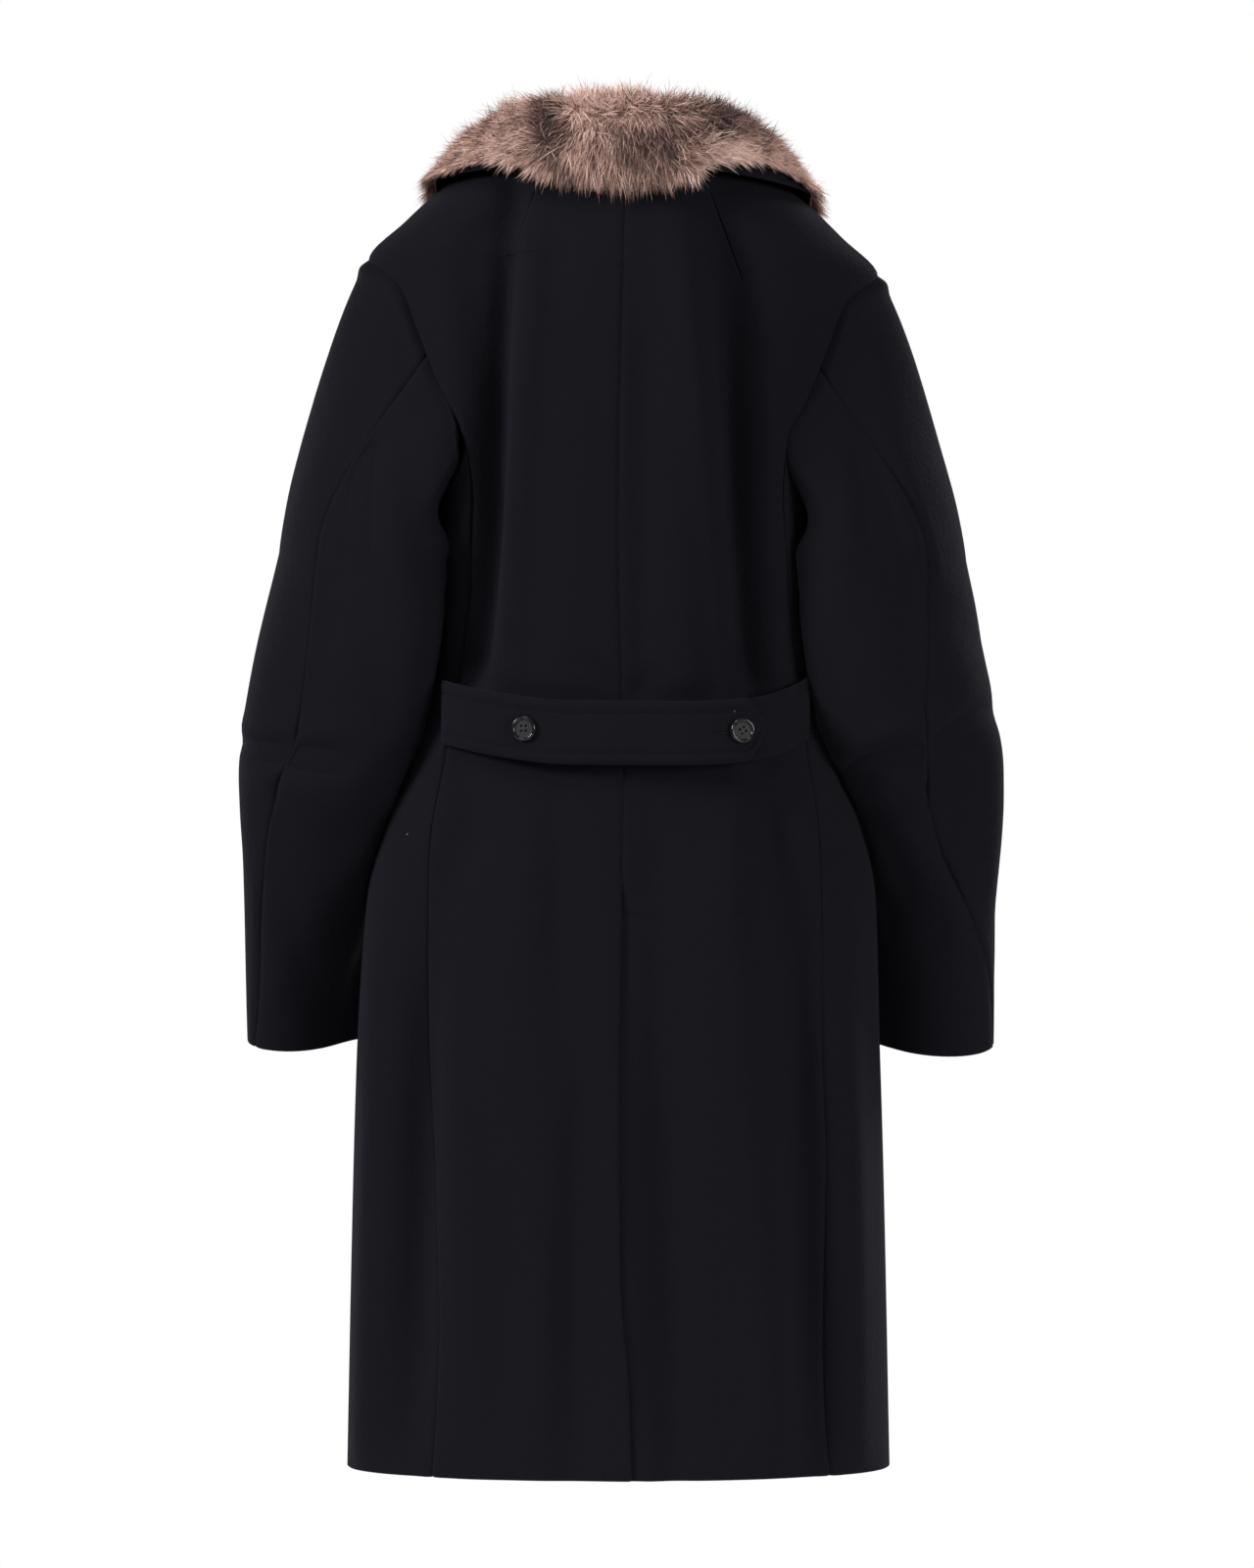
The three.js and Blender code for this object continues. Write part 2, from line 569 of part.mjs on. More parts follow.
function panelHeights(topZ) {
  const rows = lowerHeights(armholeZ(SIDE_PANEL_TURN))
    .slice(0, -1)
    .map((z) => ({ z }));
  for (const turn of ARMHOLE_TURNS) rows.push({ z: armholeZ(turn), turn });
  for (let i = 1; i <= SHOULDER_STEPS; i++) rows.push({ z: mix(SHOULDER_Z, topZ, i / SHOULDER_STEPS) });
  return rows;
}

// Where the seams of a side panel run below the arm, in degrees from the centre back.
function sideSeam(part, side, z) {
  const seams = readTable(SIDE_SEAMS, "z", z);
  if (part === "front") return 180 - angleBehind(seams.front, z);
  return angleBehind(side > 0 ? seams.backLeft : seams.backRight, z);
}

// The outer side edge of a back or front at a row: side seam, armhole or shoulder seam, counted in
// degrees from the centre back on the left.
function sideEdge(row, part, side) {
  const turnOf = (turn) => (part === "back" ? turn : 360 - turn);
  if (row.turn !== undefined) return armholeAngle(turnOf(row.turn));
  if (row.z > SHOULDER_Z) return 90;
  const bend = ease(SEAM_BEND_Z, armholeZ(SIDE_PANEL_TURN), row.z);
  return mix(sideSeam(part, side, row.z), armholeAngle(turnOf(SIDE_PANEL_TURN)), bend);
}

// Rows above the shoulder tip end at the neck seam, which is lower at the middle of the back.
function fitToNeck(z, topAtSide, topHere) {
  if (z <= SHOULDER_Z) return z;
  return mix(SHOULDER_Z, topHere, (z - SHOULDER_Z) / (topAtSide - SHOULDER_Z));
}

const backNeckZ = (share) => mix(NECK_BACK_Z, NECK_POINT_Z, 1 - Math.cos((share * Math.PI) / 2));

const centreSeam = (z) => readTable(CENTRE_SEAM, "z", z).angle;

// The right back's columns beside the centre seam, in millimetres past it. Below the top of the
// vent they run on under the left back.
const VENT_COLUMNS = [
  { seam: 0, vent: VENT_UNDERLAP, seamSunk: 1, ventSunk: 1 },
  { seam: -7, vent: 16, seamSunk: 0.65, ventSunk: 1 },
  { seam: -14, vent: -1.5, seamSunk: 0.25, ventSunk: 1 },
  { seam: -22, vent: -22, seamSunk: 0, ventSunk: 0 },
];

function back(side) {
  const columns = 12;
  const heights = panelHeights(NECK_POINT_Z);
  const inVent = VENT_COLUMNS.length - 1;
  const rule = (i, j) => {
    const row = heights[i];
    const centre = centreSeam(row.z);
    const edge = side * sideEdge(row, "back", side);
    let angle = mix(centre, edge, j / (columns - 1));
    let sunk = 0;
    if (side < 0) {
      const column = VENT_COLUMNS[Math.min(j, inVent)];
      const open = row.z < VENT_TOP_Z - 1;
      const past = open ? column.vent : column.seam;
      if (row.z < VENT_TOP_Z + 1) sunk = open ? column.ventSunk : column.seamSunk;
      const share = Math.max(0, (j - inVent) / (columns - 1 - inVent));
      angle = mix(centre + past * degreesPerMillimetre(0, row.z), edge, share);
    }
    const z = fitToNeck(row.z, NECK_POINT_Z, backNeckZ((angle - centre) / (edge - centre)));
    const trim = side * seamTrim(j, columns, degreesPerMillimetre(angle, z));
    if (row.turn !== undefined && j === columns - 1) return armholeEdge(side, row.turn, -1);
    return { point: bodyPoint(angle + trim, z, -sunk * VENT_STEP), out: bodyNormal(angle, z) };
  };
  return clothWall(heights.length, columns, rule);
}

// ---------------------------------------------------------------- side panels
function sidePanel(side) {
  const columns = SIDE_PANEL_COLUMNS;
  const rows = SKIRT_ROWS + WAIST_ROWS + 1;
  const rule = (i, j) => {
    const share = j / (columns - 1);
    const turn = SIDE_PANEL_TURNS[j];
    const topZ = armholeZ(turn);
    const z = lowerHeights(topZ)[i];
    const plain = mix(sideSeam("back", side, z), sideSeam("front", side, z), share);
    const angle = mix(plain, armholeAngle(turn), ease(SEAM_BEND_Z, topZ, z));
    if (i === rows - 1) return armholeEdge(side, turn, -1);
    const trim = seamTrim(j, columns, degreesPerMillimetre(angle, z));
    return { point: bodyPoint(side * (angle + trim), z), out: bodyNormal(side * angle, z) };
  };
  return clothWall(rows, columns, rule);
}

// ---------------------------------------------------------------- fronts and lapels
// The front edge of the left front, in degrees from the centre back: straight up from the hem to
// the break, then along the roll line to the neck.
function frontEdge(z) {
  const breakAngle = 180 + angleBehind(OVERLAP, Math.min(z, BREAK_Z));
  if (z <= BREAK_Z) return breakAngle;
  const rise = (z - BREAK_Z) / (GORGE_Z - BREAK_Z);
  return mix(breakAngle, ROLL_LINE.topAngle, rise) - ROLL_LINE.bow * Math.sin(Math.PI * clamp(rise, 0, 1));
}

const frontNeckZ = (share) => mix(NECK_POINT_Z, GORGE_Z, share ** 1.3);

// The left front lies outside the right one where they overlap.
function frontStep(side, angle, z) {
  if (side < 0) return 0;
  const { by, fromAngle, toAngle, fromZ, toZ } = FRONT_STEP;
  return by * ease(fromAngle, toAngle, angle) * ease(fromZ, toZ, z);
}

function frontPlace(side, row, share) {
  const z = fitToNeck(row.z, NECK_POINT_Z, frontNeckZ(share));
  const angle = mix(sideEdge(row, "front", side), frontEdge(z), share);
  return { angle, z };
}

function front(side) {
  const columns = 13;
  const heights = panelHeights(NECK_POINT_Z);
  const rule = (i, j) => {
    const row = heights[i];
    const { angle, z } = frontPlace(side, row, j / (columns - 1));
    const trim = seamTrim(j, columns, degreesPerMillimetre(angle, z));
    if (row.turn !== undefined && j === 0) return armholeEdge(side, 360 - row.turn, -1);
    const out = bodyNormal(side * angle, z);
    return { point: bodyPoint(side * (angle + trim), z, frontStep(side, angle, z)), out };
  };
  return clothWall(heights.length, columns, rule);
}

function lapel(side) {
  const rows = 13;
  const columns = 6;
  const footZ = side > 0 ? BREAK_Z : RIGHT_LAPEL_FOOT_Z;
  const rule = (i, j) => {
    const share = j / (columns - 1);
    const topZ = mix(LAPEL_TOP.inner, LAPEL_TOP.outer, share);
    const z = mix(footZ, topZ, i / (rows - 1));
    const edge = frontEdge(z);
    const width = readTable(LAPEL, "z", z).width * degreesPerMillimetre(edge, z);
    const angle = edge + 1 - (width + 1) * share;
    const rolled = LAPEL_ROLL * (1 - share) ** 3;
    const off = frontStep(side, angle, z) + CLOTH + LAPEL_GAP + rolled;
    return { point: bodyPoint(side * angle, z, off), out: bodyNormal(side * angle, z) };
  };
  return clothWall(rows, columns, rule, CLOTH - 0.2);
}

// ---------------------------------------------------------------- collar
function neckSeam(run) {
  const share = Math.abs(run) * 2;
  const side = run < 0 ? -1 : 1;
  if (share <= 1) {
    const z = backNeckZ(share);
    return bodyPoint(mix(centreSeam(z), side * 90, share), z);
  }
  const row = { z: NECK_POINT_Z };
  const { angle, z } = frontPlace(side, row, share - 1);
  return bodyPoint(side * angle, z, frontStep(side, angle, z));
}

function collarClear(run) {
  const onLapels = ease(LAPELS_FROM.start, LAPELS_FROM.full, Math.abs(run));
  return mix(COLLAR_CLEAR.back, COLLAR_CLEAR.front, onLapels);
}

// The collar's section at a run: from the neck seam up the stand, over the fold and down the leaf.
function collarSection(run) {
  const row = readTable(COLLAR, "run", Math.abs(run));
  const side = run < 0 ? -1 : 1;
  const clear = collarClear(run);
  const seam = neckSeam(run);
  const away = new THREE.Vector3(seam.x, seam.y - 4, 0).normalize();
  const foot = seam.clone().setZ(seam.z + COLLAR_SEAM);
  const fold = seam.clone().addScaledVector(away, row.lean);
  fold.z += row.stand;
  const edge = clearOfBody(new THREE.Vector3(side * row.edgeX, row.edgeY, row.edgeZ), clear);
  const half = fold.clone().lerp(edge, 0.45);
  half.z += COLLAR_ROUND.leaf;
  const before = foot.clone().lerp(fold, 0.55).addScaledVector(away, -COLLAR_ROUND.stand);
  const over = fold.clone().lerp(half, 0.28).addScaledVector(away, COLLAR_ROUND.over);
  over.z += COLLAR_ROUND.over;
  return new THREE.CatmullRomCurve3([foot, before, fold, over, half, edge], false, "centripetal");
}

const COLLAR_RUNS = 33;
const COLLAR_ROWS = 12;

// Points of the collar cloth, along the run and down the section, kept off the body.
function collarPoint(run, share) {
  const point = collarSection(run).getPoint(clamp(share, 0, 1));
  const leaf = ease(0.45, 0.6, share);
  return leaf > 0 ? clearOfBody(point, (collarClear(run) + COLLAR_CLOTH) * leaf) : point;
}

function collarOut(run, share) {
  const r = clamp(run, -0.985, 0.985);
  const s = clamp(share, 0.03, 0.97);
  const along = collarPoint(r + 0.012, s).sub(collarPoint(r - 0.012, s));
  const down = collarPoint(r, s + 0.025).sub(collarPoint(r, s - 0.025));
  return along.cross(down).normalize();
}

const collarPlace = (i, j) => [mix(-1, 1, i / (COLLAR_RUNS - 1)), j / (COLLAR_ROWS - 1)];

function underCollar() {
  const rule = (i, j) => {
    const [run, share] = collarPlace(i, j);
    return { point: collarPoint(run, share), out: collarOut(run, share) };
  };
  return clothWall(COLLAR_RUNS, COLLAR_ROWS, rule, COLLAR_CLOTH);
}

// The fur lies on the upper side of the collar: thin inside the neck, deep on the leaf, rounded
// off at its edges.
function furDepth(run, share) {
  const row = readTable(COLLAR, "run", Math.abs(run));
  const inside = mix(FUR_INSIDE.seam, FUR_INSIDE.fold, ease(0, 0.42, share));
  const leaf = mix(inside, row.pile, ease(0.42, 0.72, share));
  const edge = Math.sqrt(clamp((FUR_EDGE.past - share) / FUR_EDGE.over, 0, 1));
  const end = Math.sqrt(clamp((FUR_END.past - Math.abs(run)) / FUR_END.over, 0, 1));
  return leaf * edge * end;
}

function furCollar() {
  const outer = [];
  const inner = [];
  for (let i = 0; i < COLLAR_RUNS; i++) {
    outer.push([]);
    inner.push([]);
    for (let j = 1; j < COLLAR_ROWS; j++) {
      const [run, share] = collarPlace(i, j);
      const out = collarOut(run, share);
      const base = collarPoint(run, share).addScaledVector(out, SEAM);
      inner[i].push(base);
      outer[i].push(base.clone().addScaledVector(out, furDepth(run, share)));
    }
  }
  return wall(outer, inner);
}

// ---------------------------------------------------------------- half belt
// A point on the belt's middle line, off millimetres over its resting line on the body.
function beltPlace(angle, off) {
  const row = readTable(BELT, "angle", angle);
  const { x, y, outX, outY } = outlinePoint(readTable(BODY, "z", row.z), angle);
  const out = new THREE.Vector3(outX, outY, 0);
  return { point: new THREE.Vector3(x, y, row.z).addScaledVector(out, row.off + off), out };
}

// How far a strap's outer face lies over the resting line: the left one rises over the right one.
function strapTop(side, angle) {
  const climbed = ease(RIGHT_STRAP_END + STRAP_RISE.from, RIGHT_STRAP_END + STRAP_RISE.to, angle);
  return BELT_CLOTH + (side > 0 ? climbed * (BELT_CLOTH + SEAM) : 0);
}

function strap(side, fromAngle, toAngle, pointed) {
  const columns = 22;
  const rows = 4;
  const rule = (i, j) => {
    const angle = mix(fromAngle, toAngle, j / (columns - 1));
    const toTip = Math.abs(angle - toAngle) / BELT_POINT_LENGTH;
    const narrow = pointed ? mix(BELT_POINT_SHARE, 1, clamp(toTip, 0, 1)) : 1;
    const up = ((i / (rows - 1)) * 2 - 1) * (BELT_WIDTH / 2) * narrow;
    const { point, out } = beltPlace(angle, strapTop(side, angle));
    return { point: point.setZ(point.z + up), out };
  };
  return clothWall(rows, columns, rule, BELT_CLOTH);
}

// ---------------------------------------------------------------- buttons
// A round button with a raised rim and a dished middle, its back on the XY plane, facing +Z.
function buttonShape({ radius, depth }) {
  const profile = [
    [0, 0],
    [radius * 0.86, 0],
    [radius, depth * 0.45],
    [radius * 0.93, depth],
    [radius * 0.78, depth * 0.92],
    [radius * 0.68, depth * 0.6],
    [0, depth * 0.62],
  ].map(([r, h]) => new THREE.Vector2(r, h));
  return new THREE.LatheGeometry(profile, 16).rotateX(Math.PI / 2);
}

function button(name, shape, point, out) {
  const mesh = new THREE.Mesh(buttonShape(shape), HORN);
  mesh.name = name;
  mesh.position.copy(hang(point.clone())).addScaledVector(out, SEAM);
  mesh.quaternion.setFromUnitVectors(new THREE.Vector3(0, 0, 1), out);
  return mesh;
}

// ---------------------------------------------------------------- materials and assembly
const MELTON = new THREE.MeshStandardMaterial({ color: 0x1b1b1f, roughness: 0.95, metalness: 0 });
const FUR = new THREE.MeshStandardMaterial({ color: 0xa9857a, roughness: 1, metalness: 0 });
const HORN = new THREE.MeshStandardMaterial({ color: 0x26262a, roughness: 0.35, metalness: 0 });

const coat = new THREE.Group();

function add(name, geometry, material = MELTON) {
  const mesh = new THREE.Mesh(geometry, material);
  mesh.name = name;
  coat.add(mesh);
}

for (const [word, side] of [["left", 1], ["right", -1]]) {
  const sleeve = SLEEVES[word];
  const seam = (length) => ringSeam(sleeve, length);
  add(`back_${word}`, back(side));
  add(`side_panel_${word}`, sidePanel(side));
  add(`front_${word}`, front(side));
  add(`lapel_${word}`, lapel(side));
  const frontSeam = () => SLEEVE_FRONT_SEAM;
  const frontSeamBelow = () => 360 + SLEEVE_FRONT_SEAM;
  add(`top_sleeve_${word}`, sleevePiece(sleeve, TOP_SLEEVE_TURNS, frontSeam, seam));
  add(`under_sleeve_${word}`, sleevePiece(sleeve, UNDER_SLEEVE_TURNS, seam, frontSeamBelow));
}
add("under_collar", underCollar());
add("fur_collar", furCollar(), FUR);

add("belt_left", strap(1, BELT_ENDS.left, BELT_POINT_ANGLE, true));
add("belt_right", strap(-1, BELT_ENDS.right, RIGHT_STRAP_END, false));
for (const [word, angle] of Object.entries(BELT_BUTTON_ANGLES)) {
  const { point, out } = beltPlace(angle, strapTop(1, angle));
  coat.add(button(`belt_button_${word}`, BELT_BUTTON, point, out));
}

FRONT_BUTTONS.rows.forEach((z, index) => {
  for (const [word, side] of [["left", 1], ["right", -1]]) {
    const angle = 180 - side * angleBehind(FRONT_BUTTONS.column, z);
    const out = bodyNormal(angle, z);
    const point = bodyPoint(angle, z, frontStep(1, angle, z));
    coat.add(button(`front_button_${word}_${index + 1}`, FRONT_BUTTON, point, out));
  }
});

export default coat;
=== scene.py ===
# A long double-breasted greatcoat in black wool melton with a fur collar, dressed over its solids.
# Metres, +Z up, +Y towards the back, +X towards the wearer's left. The coat hangs as if worn.
import bpy
import numpy as np
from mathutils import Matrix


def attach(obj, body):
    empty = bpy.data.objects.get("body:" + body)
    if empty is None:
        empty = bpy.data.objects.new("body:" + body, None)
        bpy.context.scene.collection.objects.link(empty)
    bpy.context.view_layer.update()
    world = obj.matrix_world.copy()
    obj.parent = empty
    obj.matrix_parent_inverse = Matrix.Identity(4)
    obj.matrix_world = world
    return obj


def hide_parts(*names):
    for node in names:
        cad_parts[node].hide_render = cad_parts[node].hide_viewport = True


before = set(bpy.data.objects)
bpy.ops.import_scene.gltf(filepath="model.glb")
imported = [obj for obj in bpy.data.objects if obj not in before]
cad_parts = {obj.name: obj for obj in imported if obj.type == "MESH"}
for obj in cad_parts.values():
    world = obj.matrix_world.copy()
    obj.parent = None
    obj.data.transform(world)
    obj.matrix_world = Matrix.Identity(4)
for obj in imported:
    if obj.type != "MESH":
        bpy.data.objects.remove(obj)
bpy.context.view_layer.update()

# ---------------------------------------------------------------- melton
# Heavy wool cloth, fulled and napped until no weave shows. It is almost black, with a soft sheen
# where the nap catches the light, faint mottling from wear, and a few specks of lint.
CLOTH = 0.0024  # thickness
NAP_DARK = (0.0041, 0.0038, 0.0053, 1)
NAP_LIGHT = (0.0064, 0.0060, 0.0083, 1)
NAP_SHEEN = (0.62, 0.62, 0.78, 1)
NAP_NOISES = ((26, 4), (210, 3), (950, 3))  # wear, felt and fibres: cells a metre, and detail
MOTTLE = {"fibres": 1.6, "dark_to": 0.85, "light_from": 1.75}
FELT_RELIEF = (0.0009, 0.6)  # depth and strength
FIBRE_RELIEF = (0.0004, 0.8)
LINT = (0.16, 0.15, 0.15, 1)
LINT_SPECKS = {"a_metre": 34, "radius": 0.022, "above": 0.93}
DART_WIDTH = 0.0016
DART_DEPTH = 0.0016
NECK_DARTS = {
    1: [((0.0699, -0.010), (0.0835, -0.050))],
    -1: [((-0.0700, -0.014), (-0.0950, -0.082))],
}


def new_material(name):
    """An empty node material and its shader."""
    material = bpy.data.materials.new(name)
    material.use_nodes = True
    return material, material.node_tree.nodes["Principled BSDF"]


def set_sockets(material, node, values):
    """Each named socket of a node is set to a value, or joined to an output."""
    for name, value in values.items():
        if isinstance(value, bpy.types.NodeSocket):
            material.node_tree.links.new(value, node.inputs[name])
        else:
            node.inputs[name].default_value = value


def new_node(material, kind, values=(), **settings):
    """The outputs of a new node of a kind, with its settings and its sockets' values."""
    node = material.node_tree.nodes.new(f"ShaderNode{kind}")
    for name, setting in settings.items():
        setattr(node, name, setting)
    set_sockets(material, node, dict(values))
    return node.outputs


def worked_out(material, operation, *values):
    """One step of arithmetic on numbers or outputs."""
    return new_node(material, "Math", enumerate(values), operation=operation)["Value"]


def noise_at(material, scale, detail=2.0, stretch=(1, 1, 1)):
    """A noise pattern fixed to the piece's own coordinates, with so many cells a metre."""
    place = new_node(material, "TexCoord")["Object"]
    turned = new_node(material, "Mapping", {"Vector": place, "Scale": stretch})["Vector"]
    return new_node(material, "TexNoise", {"Vector": turned, "Scale": scale, "Detail": detail})["Fac"]


def ramp_between(material, value, low, high, dark, light):
    """A colour that goes from dark to light as the value goes from low to high."""
    output = new_node(material, "ValToRGB", {"Fac": value})["Color"]
    elements = output.node.color_ramp.elements
    elements[0].position, elements[0].color = low, dark
    elements[1].position, elements[1].color = high, light
    return output


def raised(material, height, depth, strength, below=None):
    """A bump of that depth in metres, over another bump if one is given."""
    values = {"Height": height, "Distance": depth, "Strength": strength}
    if below is not None:
        values["Normal"] = below
    return new_node(material, "Bump", values)["Normal"]


def line_groove(material, start, end):
    """1 away from a line and 0 on it, by the distance to the line in x and z: the point less the
    start, less its share along the line held between 0 and 1, is measured and compared."""
    def step(operation, values):
        return new_node(material, "VectorMath", values, operation=operation)

    line = np.array([end[0] - start[0], 0, end[1] - start[1]])
    flat = step("MULTIPLY", {0: new_node(material, "TexCoord")["Object"], 1: (1, 0, 1)})["Vector"]
    away = step("SUBTRACT", {0: flat, 1: (start[0], 0, start[1])})["Vector"]
    along = step("DOT_PRODUCT", {0: away, 1: tuple(line / (line @ line))})["Value"]
    held = new_node(material, "Clamp", {"Value": along})["Result"]
    foot = step("SCALE", {0: tuple(line), "Scale": held})["Vector"]
    apart = step("DISTANCE", {0: away, 1: foot})["Value"]
    values = {"Value": apart, "From Max": DART_WIDTH}
    return new_node(material, "MapRange", values, interpolation_type="SMOOTHSTEP")["Result"]


def melton_material(name, darts=()):
    """Fulled wool: two colours mottled by a broad noise and a fine one, lint where a cell's random
    value is high, and bumps for the felted fibres. A dart is a groove along a line between two
    points, seen from behind."""
    material, shader = new_material(name)
    wear, felt, fibre = (noise_at(material, *noise) for noise in NAP_NOISES)
    mottle = worked_out(material, "MULTIPLY_ADD", fibre, MOTTLE["fibres"], wear)
    limits = MOTTLE["dark_to"], MOTTLE["light_from"]
    cloth = ramp_between(material, mottle, *limits, NAP_DARK, NAP_LIGHT)
    place = new_node(material, "TexCoord")["Object"]
    cells = new_node(material, "TexVoronoi", {"Vector": place, "Scale": LINT_SPECKS["a_metre"]})
    near = worked_out(material, "LESS_THAN", cells["Distance"], LINT_SPECKS["radius"])
    chance = new_node(material, "SeparateColor", {"Color": cells["Color"]})["Red"]
    chosen = worked_out(material, "GREATER_THAN", chance, LINT_SPECKS["above"])
    lint = worked_out(material, "MULTIPLY", near, chosen)
    colour = new_node(material, "Mix", {"Factor": lint, 6: cloth, 7: LINT}, data_type="RGBA")[2]
    normal = raised(material, felt, *FELT_RELIEF)
    normal = raised(material, fibre, *FIBRE_RELIEF, normal)
    for start, end in darts:
        normal = raised(material, line_groove(material, start, end), DART_DEPTH, 1.0, normal)
    set_sockets(material, shader, {
        "Base Color": colour, "Normal": normal, "Roughness": 0.92, "Specular IOR Level": 0.01,
        "Sheen Weight": 0.02, "Sheen Roughness": 0.45, "Sheen Tint": NAP_SHEEN,
    })
    return material


melton = melton_material("melton")
melton_back = {side: melton_material(f"melton_back_{side}", NECK_DARTS[side]) for side in (1, -1)}

# ---------------------------------------------------------------- backs
# Two backs, cut in melton and joined by a seam down the middle, which opens into a vent. The left
# back laps over the right one there. Each has a small dart from the neck.
HEM_Z = -1.042
NECK_BACK_Z = 0.014
NECK_POINT_Z = 0.024
SHOULDER_Z = -0.062
UNDERARM_Z = -0.276
VENT_TOP_Z = -0.590
VENT_UNDERLAP = 0.042
VENT_STEP = 0.0034
SIDES = (("left", 1), ("right", -1))


def rows_of(columns, *rows):
    """A table: each row's values under the columns' names."""
    return [dict(zip(columns.split(), row)) for row in rows]


# Sections of the body, each a rounded outline at a height.
BODY = rows_of(
    "z wide back front mid power",
    (-1.042, 0.221, 0.121, 0.148, 0.008, 2.1),
    (-0.800, 0.216, 0.115, 0.143, 0.008, 2.1),
    (-0.650, 0.211, 0.111, 0.139, 0.009, 2.1),
    (-0.580, 0.207, 0.108, 0.136, 0.009, 2.1),
    (-0.520, 0.194, 0.105, 0.133, 0.009, 2.1),
    (-0.460, 0.176, 0.103, 0.131, 0.008, 2.1),
    (-0.400, 0.164, 0.105, 0.130, 0.008, 2.1),
    (-0.340, 0.160, 0.109, 0.130, 0.008, 2.1),
    (-0.276, 0.160, 0.112, 0.130, 0.008, 2.1),
    (-0.200, 0.168, 0.113, 0.126, 0.008, 2.05),
    (-0.150, 0.178, 0.111, 0.121, 0.008, 1.95),
    (-0.110, 0.191, 0.108, 0.115, 0.008, 1.8),
    (-0.062, 0.208, 0.103, 0.106, 0.008, 1.55),
    (-0.030, 0.178, 0.098, 0.095, 0.007, 1.65),
    (-0.006, 0.151, 0.091, 0.083, 0.006, 1.75),
    (0.010, 0.127, 0.084, 0.072, 0.005, 1.85),
    (0.024, 0.097, 0.076, 0.062, 0.004, 2),
)

# Soft vertical folds: an angle is 0 at the centre back, 90 at the wearer's left, 180 at the front.
BODY_FOLDS = rows_of(
    "top foot top_angle foot_angle spread lift",
    (0.020, -0.430, 39, 47, 8, -0.012),
    (0.010, -0.430, -30, -36, 8, -0.010),
    (-0.020, -0.440, -17, -16, 8, 0.005),
    (-0.020, -0.440, 14, 17, 10, 0.004),
    (-0.100, -0.440, -6, -5, 4, -0.003),
    (-0.470, -1.060, 21, 19, 8, 0.006),
    (-0.460, -1.060, 40, 54, 8, -0.009),
    (-0.560, -1.060, 68, 70, 8, 0.004),
    (-0.470, -1.060, -21, -34, 8, 0.006),
    (-0.460, -1.060, -36, -47, 7, -0.008),
    (-0.540, -1.060, -60, -57, 8, 0.005),
    (-0.480, -1.000, -7, -7, 4, -0.004),
    (-0.280, -1.060, 118, 114, 9, -0.007),
    (-0.330, -1.060, 139, 136, 9, 0.005),
    (-0.300, -1.060, -120, -111, 10, -0.008),
    (-0.420, -1.060, -141, -133, 9, 0.006),
)

# Creases seen from behind, from one place (x, z) to another, with half width, lift and bow.
CREASE = "from to width lift bow"
BACK_CREASES = rows_of(
    CREASE,
    ((0.090, 0.010), (0.136, -0.470), 0.014, -0.0200, 0.001),
    ((-0.112, -0.470), (-0.076, 0.000), 0.014, -0.0185, -0.004),
    ((0.170, -0.560), (0.160, -1.090), 0.017, -0.0090, 0.004),
    ((0.026, -0.690), (0.034, -1.090), 0.016, -0.0070, -0.004),
    ((-0.048, -1.080), (-0.040, -0.620), 0.017, -0.0080, 0.004),
    ((-0.146, -0.600), (-0.150, -1.080), 0.017, -0.0075, 0.005),
    ((0.046, -0.386), (0.004, -0.414), 0.006, -0.0016, 0.003),
    ((0.034, -0.398), (0.006, -0.426), 0.005, 0.0013, 0.002),
    ((-0.006, -0.416), (-0.042, -0.392), 0.006, -0.0012, 0.002),
    ((-0.124, -0.145), (-0.130, -0.205), 0.005, -0.0022, 0.003),
    ((-0.117, -0.160), (-0.122, -0.235), 0.008, 0.0016, 0.004),
    ((0.122, -0.150), (0.108, -0.260), 0.009, 0.0018, -0.005),
    ((0.082, -0.045), (0.062, -0.180), 0.012, 0.0022, 0.006),
    ((-0.062, -0.030), (-0.050, -0.150), 0.012, 0.0018, -0.004),
    ((0.150, -0.470), (0.112, -0.560), 0.014, -0.0030, 0.008),
    ((-0.150, -0.468), (-0.116, -0.548), 0.013, -0.0028, -0.006),
    ((0.060, -0.476), (0.046, -0.700), 0.016, -0.0045, 0.004),
    ((-0.098, -0.480), (-0.088, -0.620), 0.015, 0.0020, -0.004),
    ((0.020, -0.640), (0.030, -0.860), 0.014, 0.0016, 0.004),
    ((0.112, -0.700), (0.118, -0.960), 0.018, 0.0024, -0.005),
    ((0.088, -0.820), (0.092, -1.050), 0.015, -0.0045, 0.003),
    ((-0.120, -0.840), (-0.126, -1.050), 0.018, 0.0022, 0.004),
)

ARMHOLE = rows_of(
    "turn back front",
    (0, 90, 90), (20, 78.5, 77), (42, 66.5, 64), (60, 65, 60), (75, 63, 57), (90, 59, 53),
    (105, 53, 50), (115, 51.6, 50.5), (135, 60, 60), (155, 72, 73), (180, 90, 90),
)
SIDE_PANEL_TURN = 115
SIDE_SEAMS = rows_of(
    "z back_left back_right front",
    (-1.041, 0.151, 0.171, 0.150), (-0.930, 0.147, 0.168, 0.148), (-0.800, 0.155, 0.168, 0.146),
    (-0.690, 0.161, 0.164, 0.145), (-0.560, 0.158, 0.160, 0.142), (-0.440, 0.142, 0.146, 0.134),
    (-0.330, 0.132, 0.133, 0.128),
)
SEAM_BEND_Z = -0.330
CENTRE_SEAM = rows_of(
    "z angle",
    (-1.041, -2.2), (-0.960, -1.6), (-0.880, -0.2), (-0.470, 0), (-0.300, 1.2), (-0.150, 0.8),
    (0.028, -2),
)
SHOULDER_DROP = {"by": 0.013, "full_at_x": -0.200, "from_z": -0.470, "to_z": -0.150}
